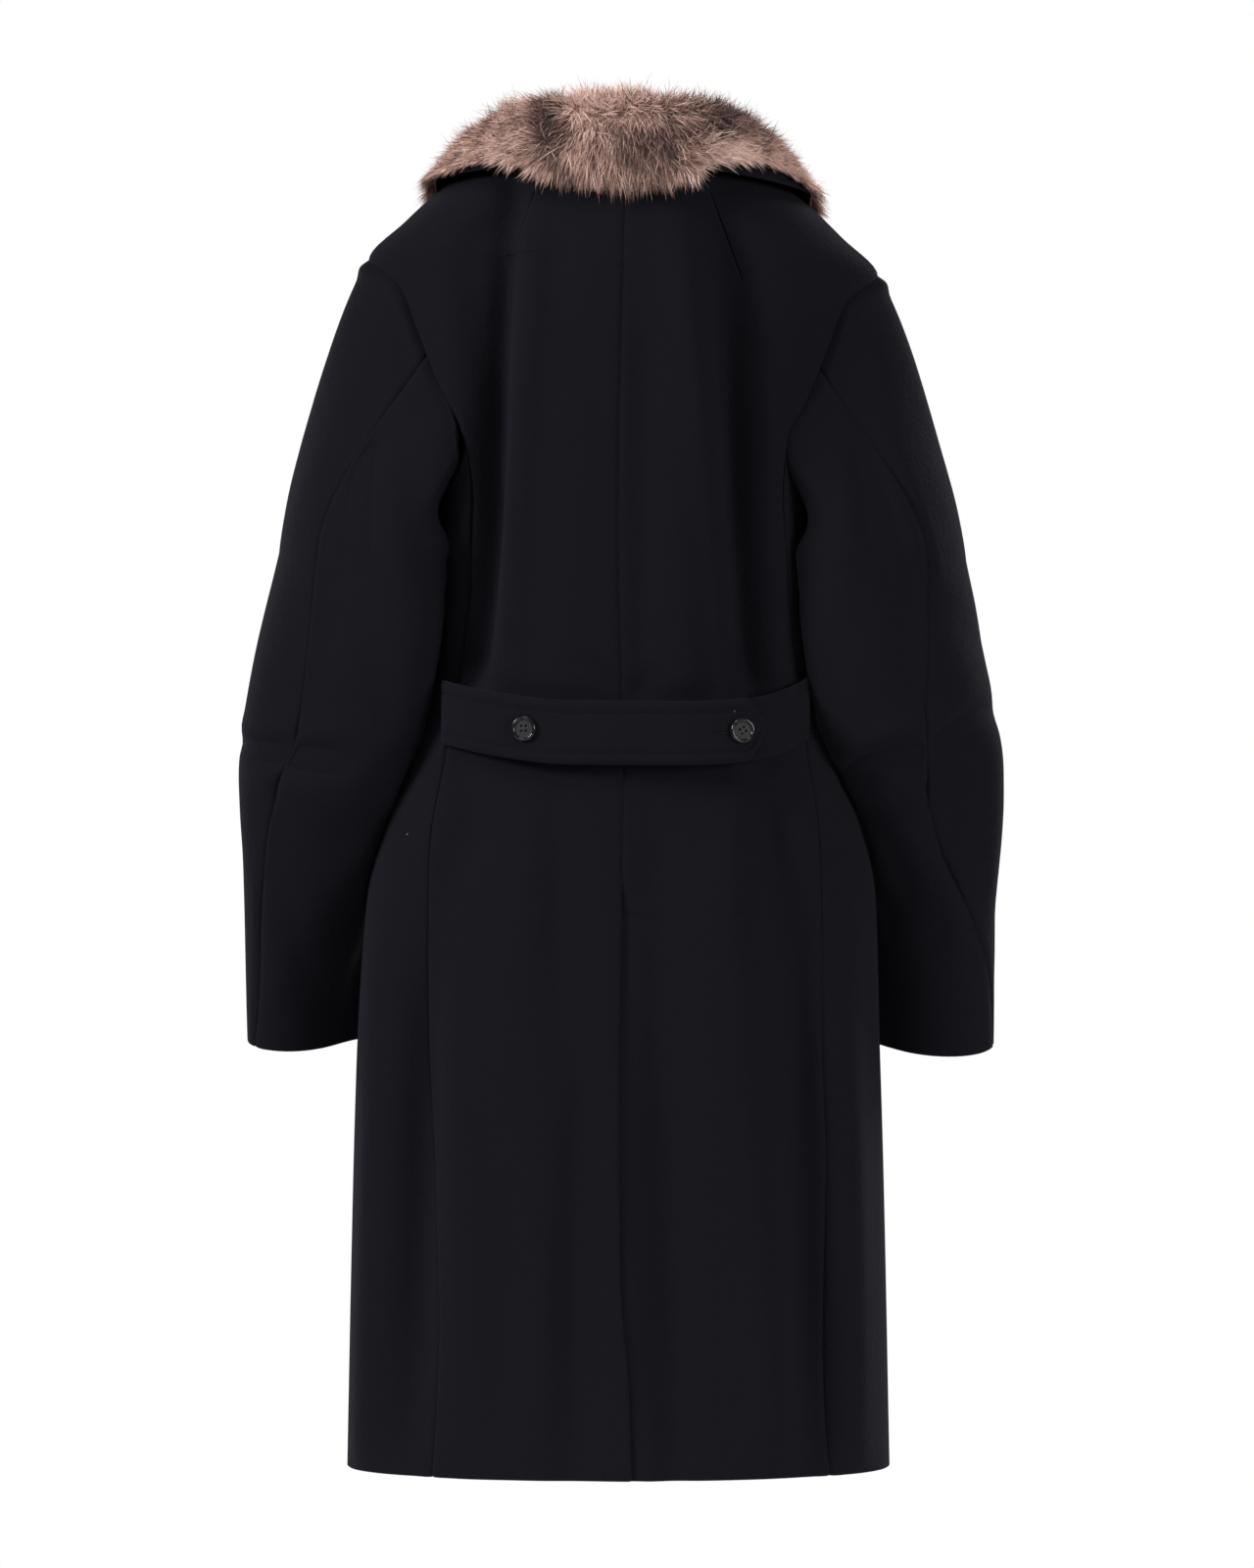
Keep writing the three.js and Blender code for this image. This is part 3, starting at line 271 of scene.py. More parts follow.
SKIRT_SWING = {"by": 0.004, "from_z": -0.480, "to_z": -0.720}

# A pressed seam: the cloth dips to the stitches, and stands up a little over its allowances.
SEAM = {"dip": 0.0011, "dip_width": 0.0014, "swell": 0.0004, "swell_at": 0.007, "swell_width": 0.004}
SEAM_COLUMNS = (0.0, 0.0006, 0.0014, 0.0026, 0.0046)
PUCKER = {"lift": 0.00035, "every": 0.013, "width": 0.012}
TURNED_EDGE = {"dip": 0.0006, "width": 0.0012}
RIM_BULGE = 0.4
HEM_ROWS = (0, 0.0008, 0.002, 0.004)


def ease(start, stop, value):
    """0 before start and 1 after stop, smooth between them."""
    t = np.clip((value - start) / (stop - start), 0, 1)
    return t * t * (3 - 2 * t)


def blend(first, second, share):
    """The place between two values by a share."""
    return first + (second - first) * share


def bell(value, width):
    """1 at 0, falling away as a bell of that half width."""
    return np.exp(-((value / width) ** 2))


def cubic(t, start, leave, stop, arrive):
    """The cubic from start to stop, as t goes from 0 to 1, with those slopes at its ends."""
    curve = start * (2 * t**3 - 3 * t**2 + 1) + leave * (t**3 - 2 * t**2 + t)
    return curve + stop * (-2 * t**3 + 3 * t**2) + arrive * (t**3 - t**2)


def read_table(rows, key, at):
    """A table's columns between its rows, by a cubic whose slope at a row is the harmonic mean of
    the rises beside it, so that it never overshoots."""
    order = np.argsort([row[key] for row in rows])
    table = {name: np.array([rows[k][name] for k in order], float) for name in rows[0]}
    at = np.clip(np.asarray(at, float), table[key][0], table[key][-1])
    width = np.diff(table[key])
    i = np.clip(np.searchsorted(table[key], at, side="right") - 1, 0, len(width) - 1)
    t = (at - table[key][i]) / width[i]
    found = {}
    for name, value in table.items():
        rise = np.diff(value) / width
        product = rise[:-1] * rise[1:]
        total = np.where(product > 0, rise[:-1] + rise[1:], 1)
        slope = np.concatenate([rise[:1], np.where(product > 0, 2 * product / total, 0), rise[-1:]])
        leave, arrive = width[i] * slope[i], width[i] * slope[i + 1]
        found[name] = cubic(t, value[i], leave, value[i + 1], arrive)
    return found


def unit(vectors):
    """The vectors, each made one long."""
    return vectors / np.maximum(np.linalg.norm(vectors, axis=-1, keepdims=True), 1e-12)


def stroke(x, z, crease):
    """A soft trough or ridge along a bowed line: a bell across it, fading out at both ends, with a
    shallow fold of the other sense beside it."""
    (x0, z0), (x1, z1) = crease["from"], crease["to"]
    length = np.hypot(x1 - x0, z1 - z0)
    along = ((x - x0) * (x1 - x0) + (z - z0) * (z1 - z0)) / length**2
    across = ((x - x0) * (z1 - z0) - (z - z0) * (x1 - x0)) / length
    across = across - crease["bow"] * 4 * along * (1 - along)
    fade = ease(-0.12, 0.3, along) * ease(1.12, 0.6, along)
    width = crease["width"] * (0.75 + 0.5 * along)
    return crease["lift"] * fade * (bell(across, width) - 0.45 * bell(across - 2.1 * width, width))


def creased(points, creases):
    """The sum of the creases at points."""
    return sum(stroke(points[..., 0], points[..., 2], crease) for crease in creases)


def half_turn(angle):
    """The same direction, counted from -180 to 180."""
    return (angle + 180) % 360 - 180


def outline(section, angle):
    """A superellipse section's point and outward direction: x is the half width times the sine,
    and y the depth times the cosine, each to the power 2 / power."""
    sine, cosine = np.sin(np.radians(angle)), np.cos(np.radians(angle))
    depth = np.where(cosine > 0, section["back"], section["front"])
    power = section["power"]
    x = section["wide"] * np.sign(sine) * np.abs(sine) ** (2 / power)
    y = section["mid"] + depth * np.sign(cosine) * np.abs(cosine) ** (2 / power)
    out_x = np.sign(sine) * np.abs(sine) ** (2 - 2 / power) / section["wide"]
    out_y = np.sign(cosine) * np.abs(cosine) ** (2 - 2 / power) / depth
    long = np.hypot(out_x, out_y)
    return x, y, out_x / long, out_y / long


def fold_lift(angle, z):
    """The sum of the body's folds: each is a bell across its leaning line, faded at both ends."""
    lift = np.zeros(np.broadcast(angle, z).shape)
    for fold in BODY_FOLDS:
        along = (fold["top"] - z) / (fold["top"] - fold["foot"])
        away = half_turn(angle) - blend(fold["top_angle"], fold["foot_angle"], along)
        fade = ease(0, 0.16, along) * ease(1, 0.9, along)
        lift = lift + fold["lift"] * fade * bell(away, fold["spread"])
    return lift


def body_form(angle, z):
    """A point of the body: its section at that height, with the folds added outwards and, behind,
    the creases."""
    angle, z = np.broadcast_arrays(np.asarray(angle, float), np.asarray(z, float))
    x, y, out_x, out_y = outline(read_table(BODY, "z", z), angle)
    lift = fold_lift(angle, z)
    behind = ease(0.0, 0.3, np.cos(np.radians(angle)))
    for crease in BACK_CREASES:
        lift = lift + behind * stroke(x, z, crease)
    return np.stack([x + out_x * lift, y + out_y * lift, z], -1)


def body_normal(angle, z):
    """The outward direction, by small steps round and up the body."""
    around = body_form(angle + 0.5, z) - body_form(angle - 0.5, z)
    up = body_form(angle, z + 0.002) - body_form(angle, z - 0.002)
    return unit(np.cross(up, around))


def body_point(angle, z, out=0.0):
    """A point on the body, so far off its form."""
    return body_form(angle, z) + body_normal(angle, z) * np.asarray(out)[..., None]


def angle_behind(x, z):
    """The body angle, from the centre back, of a place so far from the centre line."""
    section = read_table(BODY, "z", z)
    share = np.clip(np.abs(x) / section["wide"], 0, 1)
    return np.degrees(np.arcsin(share ** (section["power"] / 2)))


def degrees_per_metre(angle, z):
    """How many degrees one metre takes up round the body."""
    return 1 / np.linalg.norm(body_form(angle + 0.5, z) - body_form(angle - 0.5, z), axis=-1)


def clear_of_body(point, clear):
    """Points inside the body's section, scaled out of it until they are so far off it."""
    section = read_table(BODY, "z", point[..., 2])
    y = point[..., 1] - section["mid"]
    depth = np.where(y > 0, section["back"], section["front"]) + clear
    x_share = np.abs(point[..., 0] / (section["wide"] + clear)) ** section["power"]
    inside = (x_share + np.abs(y / depth) ** section["power"]) ** (1 / section["power"])
    scale = np.where((inside < 1) & (inside > 0.2), 1 / np.maximum(inside, 0.2), 1)
    return np.stack([point[..., 0] * scale, section["mid"] + y * scale, point[..., 2]], -1)


def hang(points):
    """Moves the even coat to where it hangs: its right shoulder lower, its skirt to the left."""
    moved = points.copy()
    x, z = points[..., 0], points[..., 2]
    low = ease(0, SHOULDER_DROP["full_at_x"], x)
    low = low * ease(SHOULDER_DROP["from_z"], SHOULDER_DROP["to_z"], z)
    moved[..., 2] -= SHOULDER_DROP["by"] * low
    moved[..., 0] += SKIRT_SWING["by"] * ease(SKIRT_SWING["from_z"], SKIRT_SWING["to_z"], moved[..., 2])
    return moved


def armhole_z(turn):
    """The height of the armhole at a turn round the arm, 0 at the shoulder tip."""
    return (SHOULDER_Z + UNDERARM_Z) / 2 + (SHOULDER_Z - UNDERARM_Z) / 2 * np.cos(np.radians(turn))


def armhole_angle(turn):
    """The body angle of the armhole, from the centre back on the left, at a turn of 0 to 360."""
    turn = np.asarray(turn, float) % 360
    row = read_table(ARMHOLE, "turn", np.where(turn <= 180, turn, 360 - turn))
    return np.where(turn <= 180, row["back"], 180 - row["front"])


def side_seam(part, side, z):
    """Where a side panel's seam runs below the arm, in degrees from the centre back."""
    seams = read_table(SIDE_SEAMS, "z", z)
    if part == "front":
        return 180 - angle_behind(seams["front"], z)
    return angle_behind(seams["back_left" if side > 0 else "back_right"], z)


def panel_rows(part, side):
    """A panel's rows from the hem to the neck: their heights, and the angle of the outer side edge,
    which is the side seam, then the armhole, then the shoulder seam."""
    hem = HEM_Z + np.array(HEM_ROWS)
    low = np.linspace(HEM_Z + 0.008, armhole_z(SIDE_PANEL_TURN), 122)[:-1]
    if part == "back":
        low = np.sort(np.concatenate([low, VENT_TOP_Z + np.linspace(-0.006, 0.003, 8)]))
    low = np.concatenate([hem, low])
    turns = np.linspace(SIDE_PANEL_TURN, 0, 36)
    high = np.linspace(SHOULDER_Z, NECK_POINT_Z, 20)[1:]
    turn_of = (lambda turn: turn) if part == "back" else (lambda turn: 360 - turn)
    bend = ease(SEAM_BEND_Z, armhole_z(SIDE_PANEL_TURN), low)
    low_edge = blend(side_seam(part, side, low), armhole_angle(turn_of(SIDE_PANEL_TURN)), bend)
    edge = np.concatenate([low_edge, armhole_angle(turn_of(turns)), np.full(len(high), 90.0)])
    return np.concatenate([low, armhole_z(turns), high]), edge


def seam_shares(count, width):
    """Shares across a panel of that width, close together beside both seams."""
    near = np.array(SEAM_COLUMNS) / width
    even = np.linspace(near[-1], 1 - near[-1], count)[1:-1]
    return np.concatenate([near, even, 1 - near[::-1]])


def fit_to_neck(z, top_here):
    """Rows above the shoulder tip are spread up to the neck seam, lower at the middle of the back."""
    share = (z - SHOULDER_Z) / (NECK_POINT_Z - SHOULDER_Z)
    return np.where(z <= SHOULDER_Z, z, blend(SHOULDER_Z, top_here, share))


def back_neck_z(share):
    """The height of the neck seam from the centre back (0) to the neck point (1)."""
    return blend(NECK_BACK_Z, NECK_POINT_Z, 1 - np.cos(np.clip(share, 0, 1) * np.pi / 2))


def centre_seam(z):
    """The centre back seam's place, in degrees."""
    return read_table(CENTRE_SEAM, "z", z)["angle"]


def seam_relief(distance):
    """How a seam shapes the cloth beside it: a narrow dip, then a slight swell."""
    swell = SEAM["swell"] * bell(distance - SEAM["swell_at"], SEAM["swell_width"])
    return swell - SEAM["dip"] * bell(distance, SEAM["dip_width"])


def turned_edge(distance, dip=TURNED_EDGE["dip"]):
    """How an edge that is turned in and pressed rounds off."""
    return -dip * bell(distance, TURNED_EDGE["width"])


def from_edges(points):
    """Distances along the rows from a grid's first and last columns."""
    step = np.linalg.norm(np.diff(points, axis=1), axis=-1)
    first = np.concatenate([np.zeros((len(points), 1)), np.cumsum(step, axis=1)], axis=1)
    return first, first[:, -1:] - first


def make_mesh(name, points, faces, material):
    """A smooth piece of the coat from points and faces that all have as many corners. It rides on
    the one body and takes its finish from the slot."""
    mesh = bpy.data.meshes.new(name)
    mesh.vertices.add(len(points))
    mesh.vertices.foreach_set("co", np.asarray(points, np.float32).ravel())
    mesh.loops.add(faces.size)
    mesh.loops.foreach_set("vertex_index", faces.astype(np.int32).ravel())
    mesh.polygons.add(len(faces))
    mesh.polygons.foreach_set("loop_start", np.arange(0, faces.size, faces.shape[1], dtype=np.int32))
    mesh.polygons.foreach_set("use_smooth", np.ones(len(faces), bool))
    mesh.update(calc_edges=True)
    mesh.materials.append(material)
    piece = bpy.data.objects.new(name, mesh)
    bpy.context.scene.collection.objects.link(piece)
    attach(piece, "root")
    return piece


def volume_of(points, faces):
    """The signed volume inside quads, split into triangles."""
    corners = points[faces[:, [0, 1, 2, 0, 2, 3]].reshape(-1, 3)]
    return np.einsum("ij,ij->i", corners[:, 0], np.cross(corners[:, 1], corners[:, 2])).sum() / 6


def make_wall(name, outer, inner, material):
    """A closed wall between an outer and an inner grid. Its rim bulges by a share of the wall."""
    rows, columns = outer.shape[:2]
    index = np.arange(rows * columns).reshape(rows, columns)
    rim = np.concatenate([index[0, :-1], index[:-1, -1], index[-1, :0:-1], index[:0:-1, 0]])
    next_in = np.concatenate([index[1, :-1], index[:-1, -2], index[-2, :0:-1], index[:0:-1, 1]])
    flat_outer, flat_inner = outer.reshape(-1, 3), inner.reshape(-1, 3)
    middle = (flat_outer[rim] + flat_inner[rim]) / 2
    wall = np.linalg.norm(flat_outer[rim] - flat_inner[rim], axis=-1, keepdims=True)
    middle = middle + unit(flat_outer[rim] - flat_outer[next_in]) * wall * RIM_BULGE
    points = hang(np.concatenate([flat_outer, flat_inner, middle]))
    quads = np.stack([index[:-1, :-1], index[:-1, 1:], index[1:, 1:], index[1:, :-1]], -1).reshape(-1, 4)
    mid_index = 2 * rows * columns + np.arange(len(rim))
    after, mid_after = np.roll(rim, -1), np.roll(mid_index, -1)
    inner_shift = rows * columns
    faces = np.concatenate([
        quads,
        quads[:, ::-1] + inner_shift,
        np.stack([rim, mid_index, mid_after, after], -1),
        np.stack([mid_index, rim + inner_shift, after + inner_shift, mid_after], -1),
    ])
    if volume_of(points, faces) < 0:
        faces = faces[:, ::-1]
    return make_mesh(name, points, faces, material)


def cloth_piece(node, points, out, relief, wall=CLOTH, material=melton):
    """The cloth wall that stands for a node, from a grid of points: relief moves them along their
    outward direction, and the inner grid lies a wall's thickness behind."""
    outer = points + out * relief[..., None]
    piece = make_wall(f"{node}_cloth", outer, points - out * wall, material)
    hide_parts(node)


def back_grid(side):
    """Angles and heights of a back. The right one's columns start under the left one below the top
    of the vent, and it sinks there by the vent's step."""
    heights, edge = panel_rows("back", side)
    shares = seam_shares(40, 0.14)
    centre = centre_seam(heights)
    start = centre
    if side < 0:
        under = VENT_UNDERLAP * ease(VENT_TOP_Z + 0.001, VENT_TOP_Z - 0.004, heights)
        start = centre + under * degrees_per_metre(np.zeros_like(heights), heights)
    angle = blend(start[:, None], side * edge[:, None], shares[None, :])
    along = (angle - centre[:, None]) / (side * edge - centre)[:, None]
    z = fit_to_neck(heights[:, None], back_neck_z(along))
    past = (angle - centre[:, None]) / degrees_per_metre(np.zeros_like(z), z)
    sunk = ease(-0.024, -0.0015, past) * ease(VENT_TOP_Z + 0.03, VENT_TOP_Z, z)
    return angle, z, past, -VENT_STEP * sunk if side < 0 else np.zeros_like(z)


for word, side in SIDES:
    angle, z, past, sunk = back_grid(side)
    points = body_point(angle, z, sunk)
    from_centre, from_side = from_edges(points)
    sewn = ease(VENT_TOP_Z - 0.004, VENT_TOP_Z + 0.004, z)
    ripple = PUCKER["lift"] * np.sin(2 * np.pi * z / PUCKER["every"] + 3 * np.sin(17 * z))
    ripple = ripple * bell(from_centre, PUCKER["width"]) * sewn
    relief = seam_relief(from_centre) * sewn + seam_relief(from_side) + ripple
    relief = relief + turned_edge(from_centre) * (1 - sewn)
    cloth_piece(f"back_{word}", points, body_normal(angle, z), relief,
                material=melton_back[side])

# ---------------------------------------------------------------- side panels
# A long panel on each side, from the hem to the armhole under the arm, cut in melton and joined to
# the back and the front by pressed seams.
for word, side in SIDES:
    shares = seam_shares(34, 0.09)[None, :]
    turn = blend(SIDE_PANEL_TURN, 360 - SIDE_PANEL_TURN, shares)
    rise = np.concatenate([[0, 0.001, 0.0026, 0.005], np.linspace(0.01, 1, 118)])[:, None]
    z = blend(HEM_Z, armhole_z(turn), rise)
    plain = blend(side_seam("back", side, z), side_seam("front", side, z), shares)
    angle = side * blend(plain, armhole_angle(turn), ease(SEAM_BEND_Z, armhole_z(turn), z))
    points = body_point(angle, z)
    behind, before = from_edges(points)
    below_arm = (armhole_z(turn) - z) + 0 * points[..., 0]
    relief = seam_relief(behind) + seam_relief(before) + seam_relief(below_arm)
    cloth_piece(f"side_panel_{word}", points, body_normal(angle, z), relief)

# ---------------------------------------------------------------- fronts
# Two fronts that lap over each other, the left one outside, with their edges turned in. Above the
# break the edge follows the line on which the lapel rolls.
OVERLAP = 0.086
FRONT_STEP = {"by": 0.007, "from_angle": 128, "to_angle": 152, "from_z": -0.150, "to_z": -0.215}
BREAK_Z = -0.305
GORGE_Z = -0.014
ROLL_LINE = {"top_angle": 146, "bow": 5}
FRONT_CREASES = rows_of(
    CREASE,
    ((0.020, -0.330), (0.110, -0.300), 0.010, -0.0026, 0.006),
    ((-0.020, -0.345), (-0.105, -0.290), 0.011, -0.0024, -0.006),
    ((0.066, -0.440), (0.128, -0.400), 0.011, -0.0022, 0.005),
    ((-0.070, -0.450), (-0.130, -0.420), 0.012, -0.0024, -0.004),
    ((0.120, -0.090), (0.126, -0.220), 0.013, -0.0030, -0.006),
    ((-0.118, -0.100), (-0.124, -0.235), 0.013, -0.0028, 0.006),
    ((0.070, -0.690), (0.092, -1.030), 0.017, -0.0030, 0.006),
    ((-0.064, -0.690), (-0.098, -1.030), 0.018, -0.0028, -0.006),
    ((0.000, -0.700), (0.012, -1.020), 0.020, 0.0024, 0.005),
)
CREASE_SHARE = {1: 0.6, -1: 0.3}  # how strongly they show in the left and the right front


def front_edge(z):
    """The front edge in degrees from the centre back: straight up to the break, then along the roll
    line to the neck."""
    edge = 180 + angle_behind(OVERLAP, np.minimum(z, BREAK_Z))
    rise = np.clip((z - BREAK_Z) / (GORGE_Z - BREAK_Z), 0, 1)
    full_rise = np.maximum((z - BREAK_Z) / (GORGE_Z - BREAK_Z), 0)
    rolled = blend(edge, ROLL_LINE["top_angle"], full_rise) - ROLL_LINE["bow"] * np.sin(np.pi * rise)
    return np.where(z <= BREAK_Z, edge, rolled)


def front_neck_z(share):
    """The height of the neck seam from the neck point (0) to the roll line (1)."""
    return blend(NECK_POINT_Z, GORGE_Z, np.clip(share, 0, 1) ** 1.3)


def front_step(side, angle, z):
    """How far the left front lies outside, where it laps over the right one."""
    if side < 0:
        return np.zeros(np.broadcast(angle, z).shape)
    over = ease(FRONT_STEP["from_angle"], FRONT_STEP["to_angle"], angle)
    return FRONT_STEP["by"] * over * ease(FRONT_STEP["from_z"], FRONT_STEP["to_z"], z)


for word, side in SIDES:
    heights, edge = panel_rows("front", side)
    shares = seam_shares(44, 0.26)[None, :]
    z = fit_to_neck(heights[:, None], front_neck_z(shares))
    angle = blend(edge[:, None], front_edge(z), shares)
    points = body_point(side * angle, z, front_step(side, angle, z))
    from_side, from_front = from_edges(points)
    away_from_edges = ease(0, 0.02, from_front) * ease(0, 0.02, from_side)
    relief = seam_relief(from_side) + turned_edge(from_front)
    relief = relief + CREASE_SHARE[side] * creased(points, FRONT_CREASES) * away_from_edges
    cloth_piece(f"front_{word}", points, body_normal(side * angle, z), relief)

# ---------------------------------------------------------------- lapels
# Each lapel is turned back from its front along the roll line and ends in a peak under the collar.
LAPEL = rows_of(
    "z width",
    (-0.305, 0.003), (-0.260, 0.026), (-0.180, 0.062), (-0.110, 0.088), (-0.072, 0.097),
)
LAPEL_TOP = {"inner": -0.034, "outer": -0.070}
LAPEL_FOOT = {1: BREAK_Z, -1: -0.176}
LAPEL_GAP = 0.0009
LAPEL_ROLL = 0.0016
LAPEL_CLOTH = 0.0022
LAPEL_EDGE_DIP = 0.0005

for word, side in SIDES:
    shares = seam_shares(26, 0.09)[None, :]
    top = blend(LAPEL_TOP["inner"], LAPEL_TOP["outer"], shares)
    z = blend(LAPEL_FOOT[side], top, np.linspace(0, 1, 60)[:, None])
    edge = front_edge(z)
    width = read_table(LAPEL, "z", z)["width"] * degrees_per_metre(edge, z)
    angle = edge + 1 - (width + 1) * shares
    rolled = LAPEL_ROLL * (1 - shares) ** 3
    off = front_step(side, angle, z) + CLOTH + LAPEL_GAP + rolled
    points = body_point(side * angle, z, off)
    out = body_normal(side * angle, z)
    inside, outside = from_edges(points)
    relief = turned_edge(outside, LAPEL_EDGE_DIP) + turned_edge(inside, LAPEL_EDGE_DIP)
    cloth_piece(f"lapel_{word}", points, out, relief, LAPEL_CLOTH)

# ---------------------------------------------------------------- sleeves
# Two-piece sleeves: a top sleeve and an under sleeve, joined by a seam before the arm and by one
# that runs from the back of the armhole over the elbow to the cuff. The head is eased in, so it
# stands up in a soft ridge along the armhole.
RING = "z x y long broad turn swing dip dent dent_at seam"
SLEEVE_RINGS = {
    1: rows_of(
        RING,
        (-0.300, 0.209, 0.032, 0.080, 0.047, 33, 42, 0, 0, 130, 79),
        (-0.376, 0.223, 0.036, 0.084, 0.045, 30, 36, 0, 0.1, 104, 81),
        (-0.440, 0.235, 0.030, 0.080, 0.045, 24, 26, 0.05, 0.16, 100, 80),
        (-0.490, 0.244, 0.016, 0.071, 0.045, 15, 14, 0.1, 0.06, 112, 68),
        (-0.540, 0.242, -0.008, 0.069, 0.046, -2, 4, 0.15, 0.06, 150, 44),
        (-0.600, 0.249, -0.040, 0.061, 0.043, -14, 0, 0.25, 0.26, 148, 31),
        (-0.650, 0.250, -0.066, 0.060, 0.039, -18, 0, 0.32, 0.3, 128, 26),
        (-0.694, 0.249, -0.088, 0.061, 0.037, -20, 0, 0.36, 0.24, 112, 16),
    ),
    -1: rows_of(
        RING,
        (-0.300, 0.208, 0.032, 0.080, 0.047, 33, 42, 0, 0, 120, 79),
        (-0.376, 0.220, 0.035, 0.082, 0.045, 29, 36, 0, 0.05, 45, 86),
        (-0.436, 0.230, 0.030, 0.080, 0.045, 23, 26, 0.05, 0.05, 50, 92),
        (-0.482, 0.239, 0.015, 0.073, 0.042, 14, 14, 0.1, 0.1, 95, 92),
        (-0.534, 0.241, -0.010, 0.069, 0.046, -3, 4, 0.15, 0.1, 150, 74),
        (-0.596, 0.248, -0.040, 0.061, 0.043, -14, 0, 0.25, 0.28, 140, 36),
        (-0.648, 0.250, -0.066, 0.061, 0.039, -18, 0, 0.32, 0.22, 122, 8),
        (-0.698, 0.252, -0.088, 0.061, 0.037, -20, 0, 0.36, 0.14, 118, -6),
    ),
}
SLEEVE_FRONT_SEAM = -115
SLEEVE_BACK_SEAM = 76
SLEEVE_CLEAR = 0.004
DENT_SPREAD = 34
CAP_PULL = {"under": 0.026, "top": 0.020, "out": 0.044, "down": 0.020, "fall": 0.25}
CAP_FALL = 0.240
CAP_END = {"lean": 0.1, "down": 0.020}
ARMHOLE_TURNING = (0.0045, 0.0020)  # the sleeve's edge is turned in behind the armhole's edge
HEAD_RIDGE = {"lift": 0.0030, "at": 0.008, "width": 0.0065}
SLEEVE_CREASES = {
    1: rows_of(
        CREASE,
        ((0.318, -0.452), (0.214, -0.470), 0.010, -0.0062, -0.006),
        ((0.306, -0.478), (0.236, -0.512), 0.014, 0.0034, 0.005),
        ((0.232, -0.300), (0.262, -0.430), 0.014, -0.0030, 0.006),
        ((0.190, -0.210), (0.172, -0.360), 0.012, 0.0026, -0.005),
        ((0.206, -0.180), (0.206, -0.360), 0.013, -0.0044, -0.006),
        ((0.216, -0.360), (0.186, -0.450), 0.011, -0.0026, 0.004),
        ((0.190, -0.480), (0.250, -0.560), 0.012, -0.0030, 0.006),
        ((0.222, -0.160), (0.262, -0.270), 0.016, 0.0020, 0.005),
        ((0.300, -0.560), (0.276, -0.690), 0.012, 0.0020, 0.004),
    ),
    -1: rows_of(
        CREASE,
        ((-0.176, -0.480), (-0.246, -0.466), 0.009, -0.0058, 0.004),
        ((-0.238, -0.468), (-0.312, -0.424), 0.010, -0.0052, 0.004),
        ((-0.196, -0.500), (-0.262, -0.492), 0.014, 0.0032, 0.004),
        ((-0.226, -0.290), (-0.244, -0.430), 0.015, -0.0026, -0.006),
        ((-0.176, -0.230), (-0.160, -0.380), 0.012, 0.0024, 0.005),
        ((-0.182, -0.170), (-0.224, -0.340), 0.012, -0.0048, 0.004),
        ((-0.206, -0.150), (-0.252, -0.260), 0.016, 0.0018, -0.005),
        ((-0.262, -0.520), (-0.288, -0.640), 0.012, 0.0024, -0.004),
        ((-0.206, -0.520), (-0.236, -0.600), 0.012, -0.0026, 0.005),
    ),
}


def sleeve_section(side, turn, place):
    """A point of a sleeve's section: an ellipse turned about the arm, dented on one side, tipped so
    that its back edge hangs lower, and kept off the body."""
    rows = [{**ring, "index": k} for k, ring in enumerate(SLEEVE_RINGS[side])]
    ring = read_table(rows, "index", place)
    inner = turn % 360
    t = np.radians(turn + ring["swing"] * ease(80, 180, inner) * ease(340, 200, inner))
    lean = np.radians(ring["turn"])
    size = 1 - ring["dent"] * bell(half_turn(turn - ring["dent_at"]), DENT_SPREAD)
    along = ring["long"] * size * np.cos(t)
    across = ring["broad"] * size * np.sin(t)
    y = ring["y"] - along * np.sin(lean) + across * np.cos(lean)
    x = side * (ring["x"] + along * np.cos(lean) + across * np.sin(lean))
    z = ring["z"] - ring["dip"] * (y - ring["y"])
    return clear_of_body(np.stack([x, y, z], -1), SLEEVE_CLEAR)


def sleeve_point(side, turn, length):
    """A point of a sleeve, whose length runs from 0 at the armhole through 1 at the first ring to
    the cuff. The cap is a cubic from the armhole to the first ring, pulled outwards, then down."""
    turn, length = np.broadcast_arrays(np.asarray(turn, float), np.asarray(length, float))
    start = body_form(side * armhole_angle(turn), armhole_z(turn))
    stop = sleeve_section(side, turn, np.zeros_like(length))
    fall = start[..., 2] - stop[..., 2]
    pull = blend(CAP_PULL["under"], CAP_PULL["top"], fall / CAP_FALL)
    leave = body_normal(side * armhole_angle(turn), armhole_z(turn)) * pull[..., None]
    leave[..., 0] += side * CAP_PULL["out"] * (0.5 + 0.5 * np.cos(np.radians(turn)))
    leave[..., 2] -= CAP_PULL["down"] + CAP_PULL["fall"] * fall
    arrive = np.stack([side * CAP_END["lean"] * fall, 0 * fall, -(CAP_END["down"] + fall)], -1)
    t = np.clip(length, 0, 1)[..., None]
    cap = cubic(t, start, leave, stop, arrive)
    cap = clear_of_body(cap, SLEEVE_CLEAR * ease(0.02, 0.5, length))
    arm = sleeve_section(side, turn, np.maximum(length - 1, 0))
    return np.where(length[..., None] < 1, cap, arm)


def grid_normals(points):
    """The direction across a grid at each of its points, by steps along its rows and columns."""
    return unit(np.cross(np.gradient(points, axis=0), np.gradient(points, axis=1)))


def back_seam_turn(side, length):
    """Where the sleeve's back seam runs round the arm."""
    rows = [{"index": k + 1, "seam": ring["seam"]} for k, ring in enumerate(SLEEVE_RINGS[side])]
    below = read_table(rows, "index", length)["seam"]
    return np.where(length < 1, blend(SLEEVE_BACK_SEAM, rows[0]["seam"], length), below)


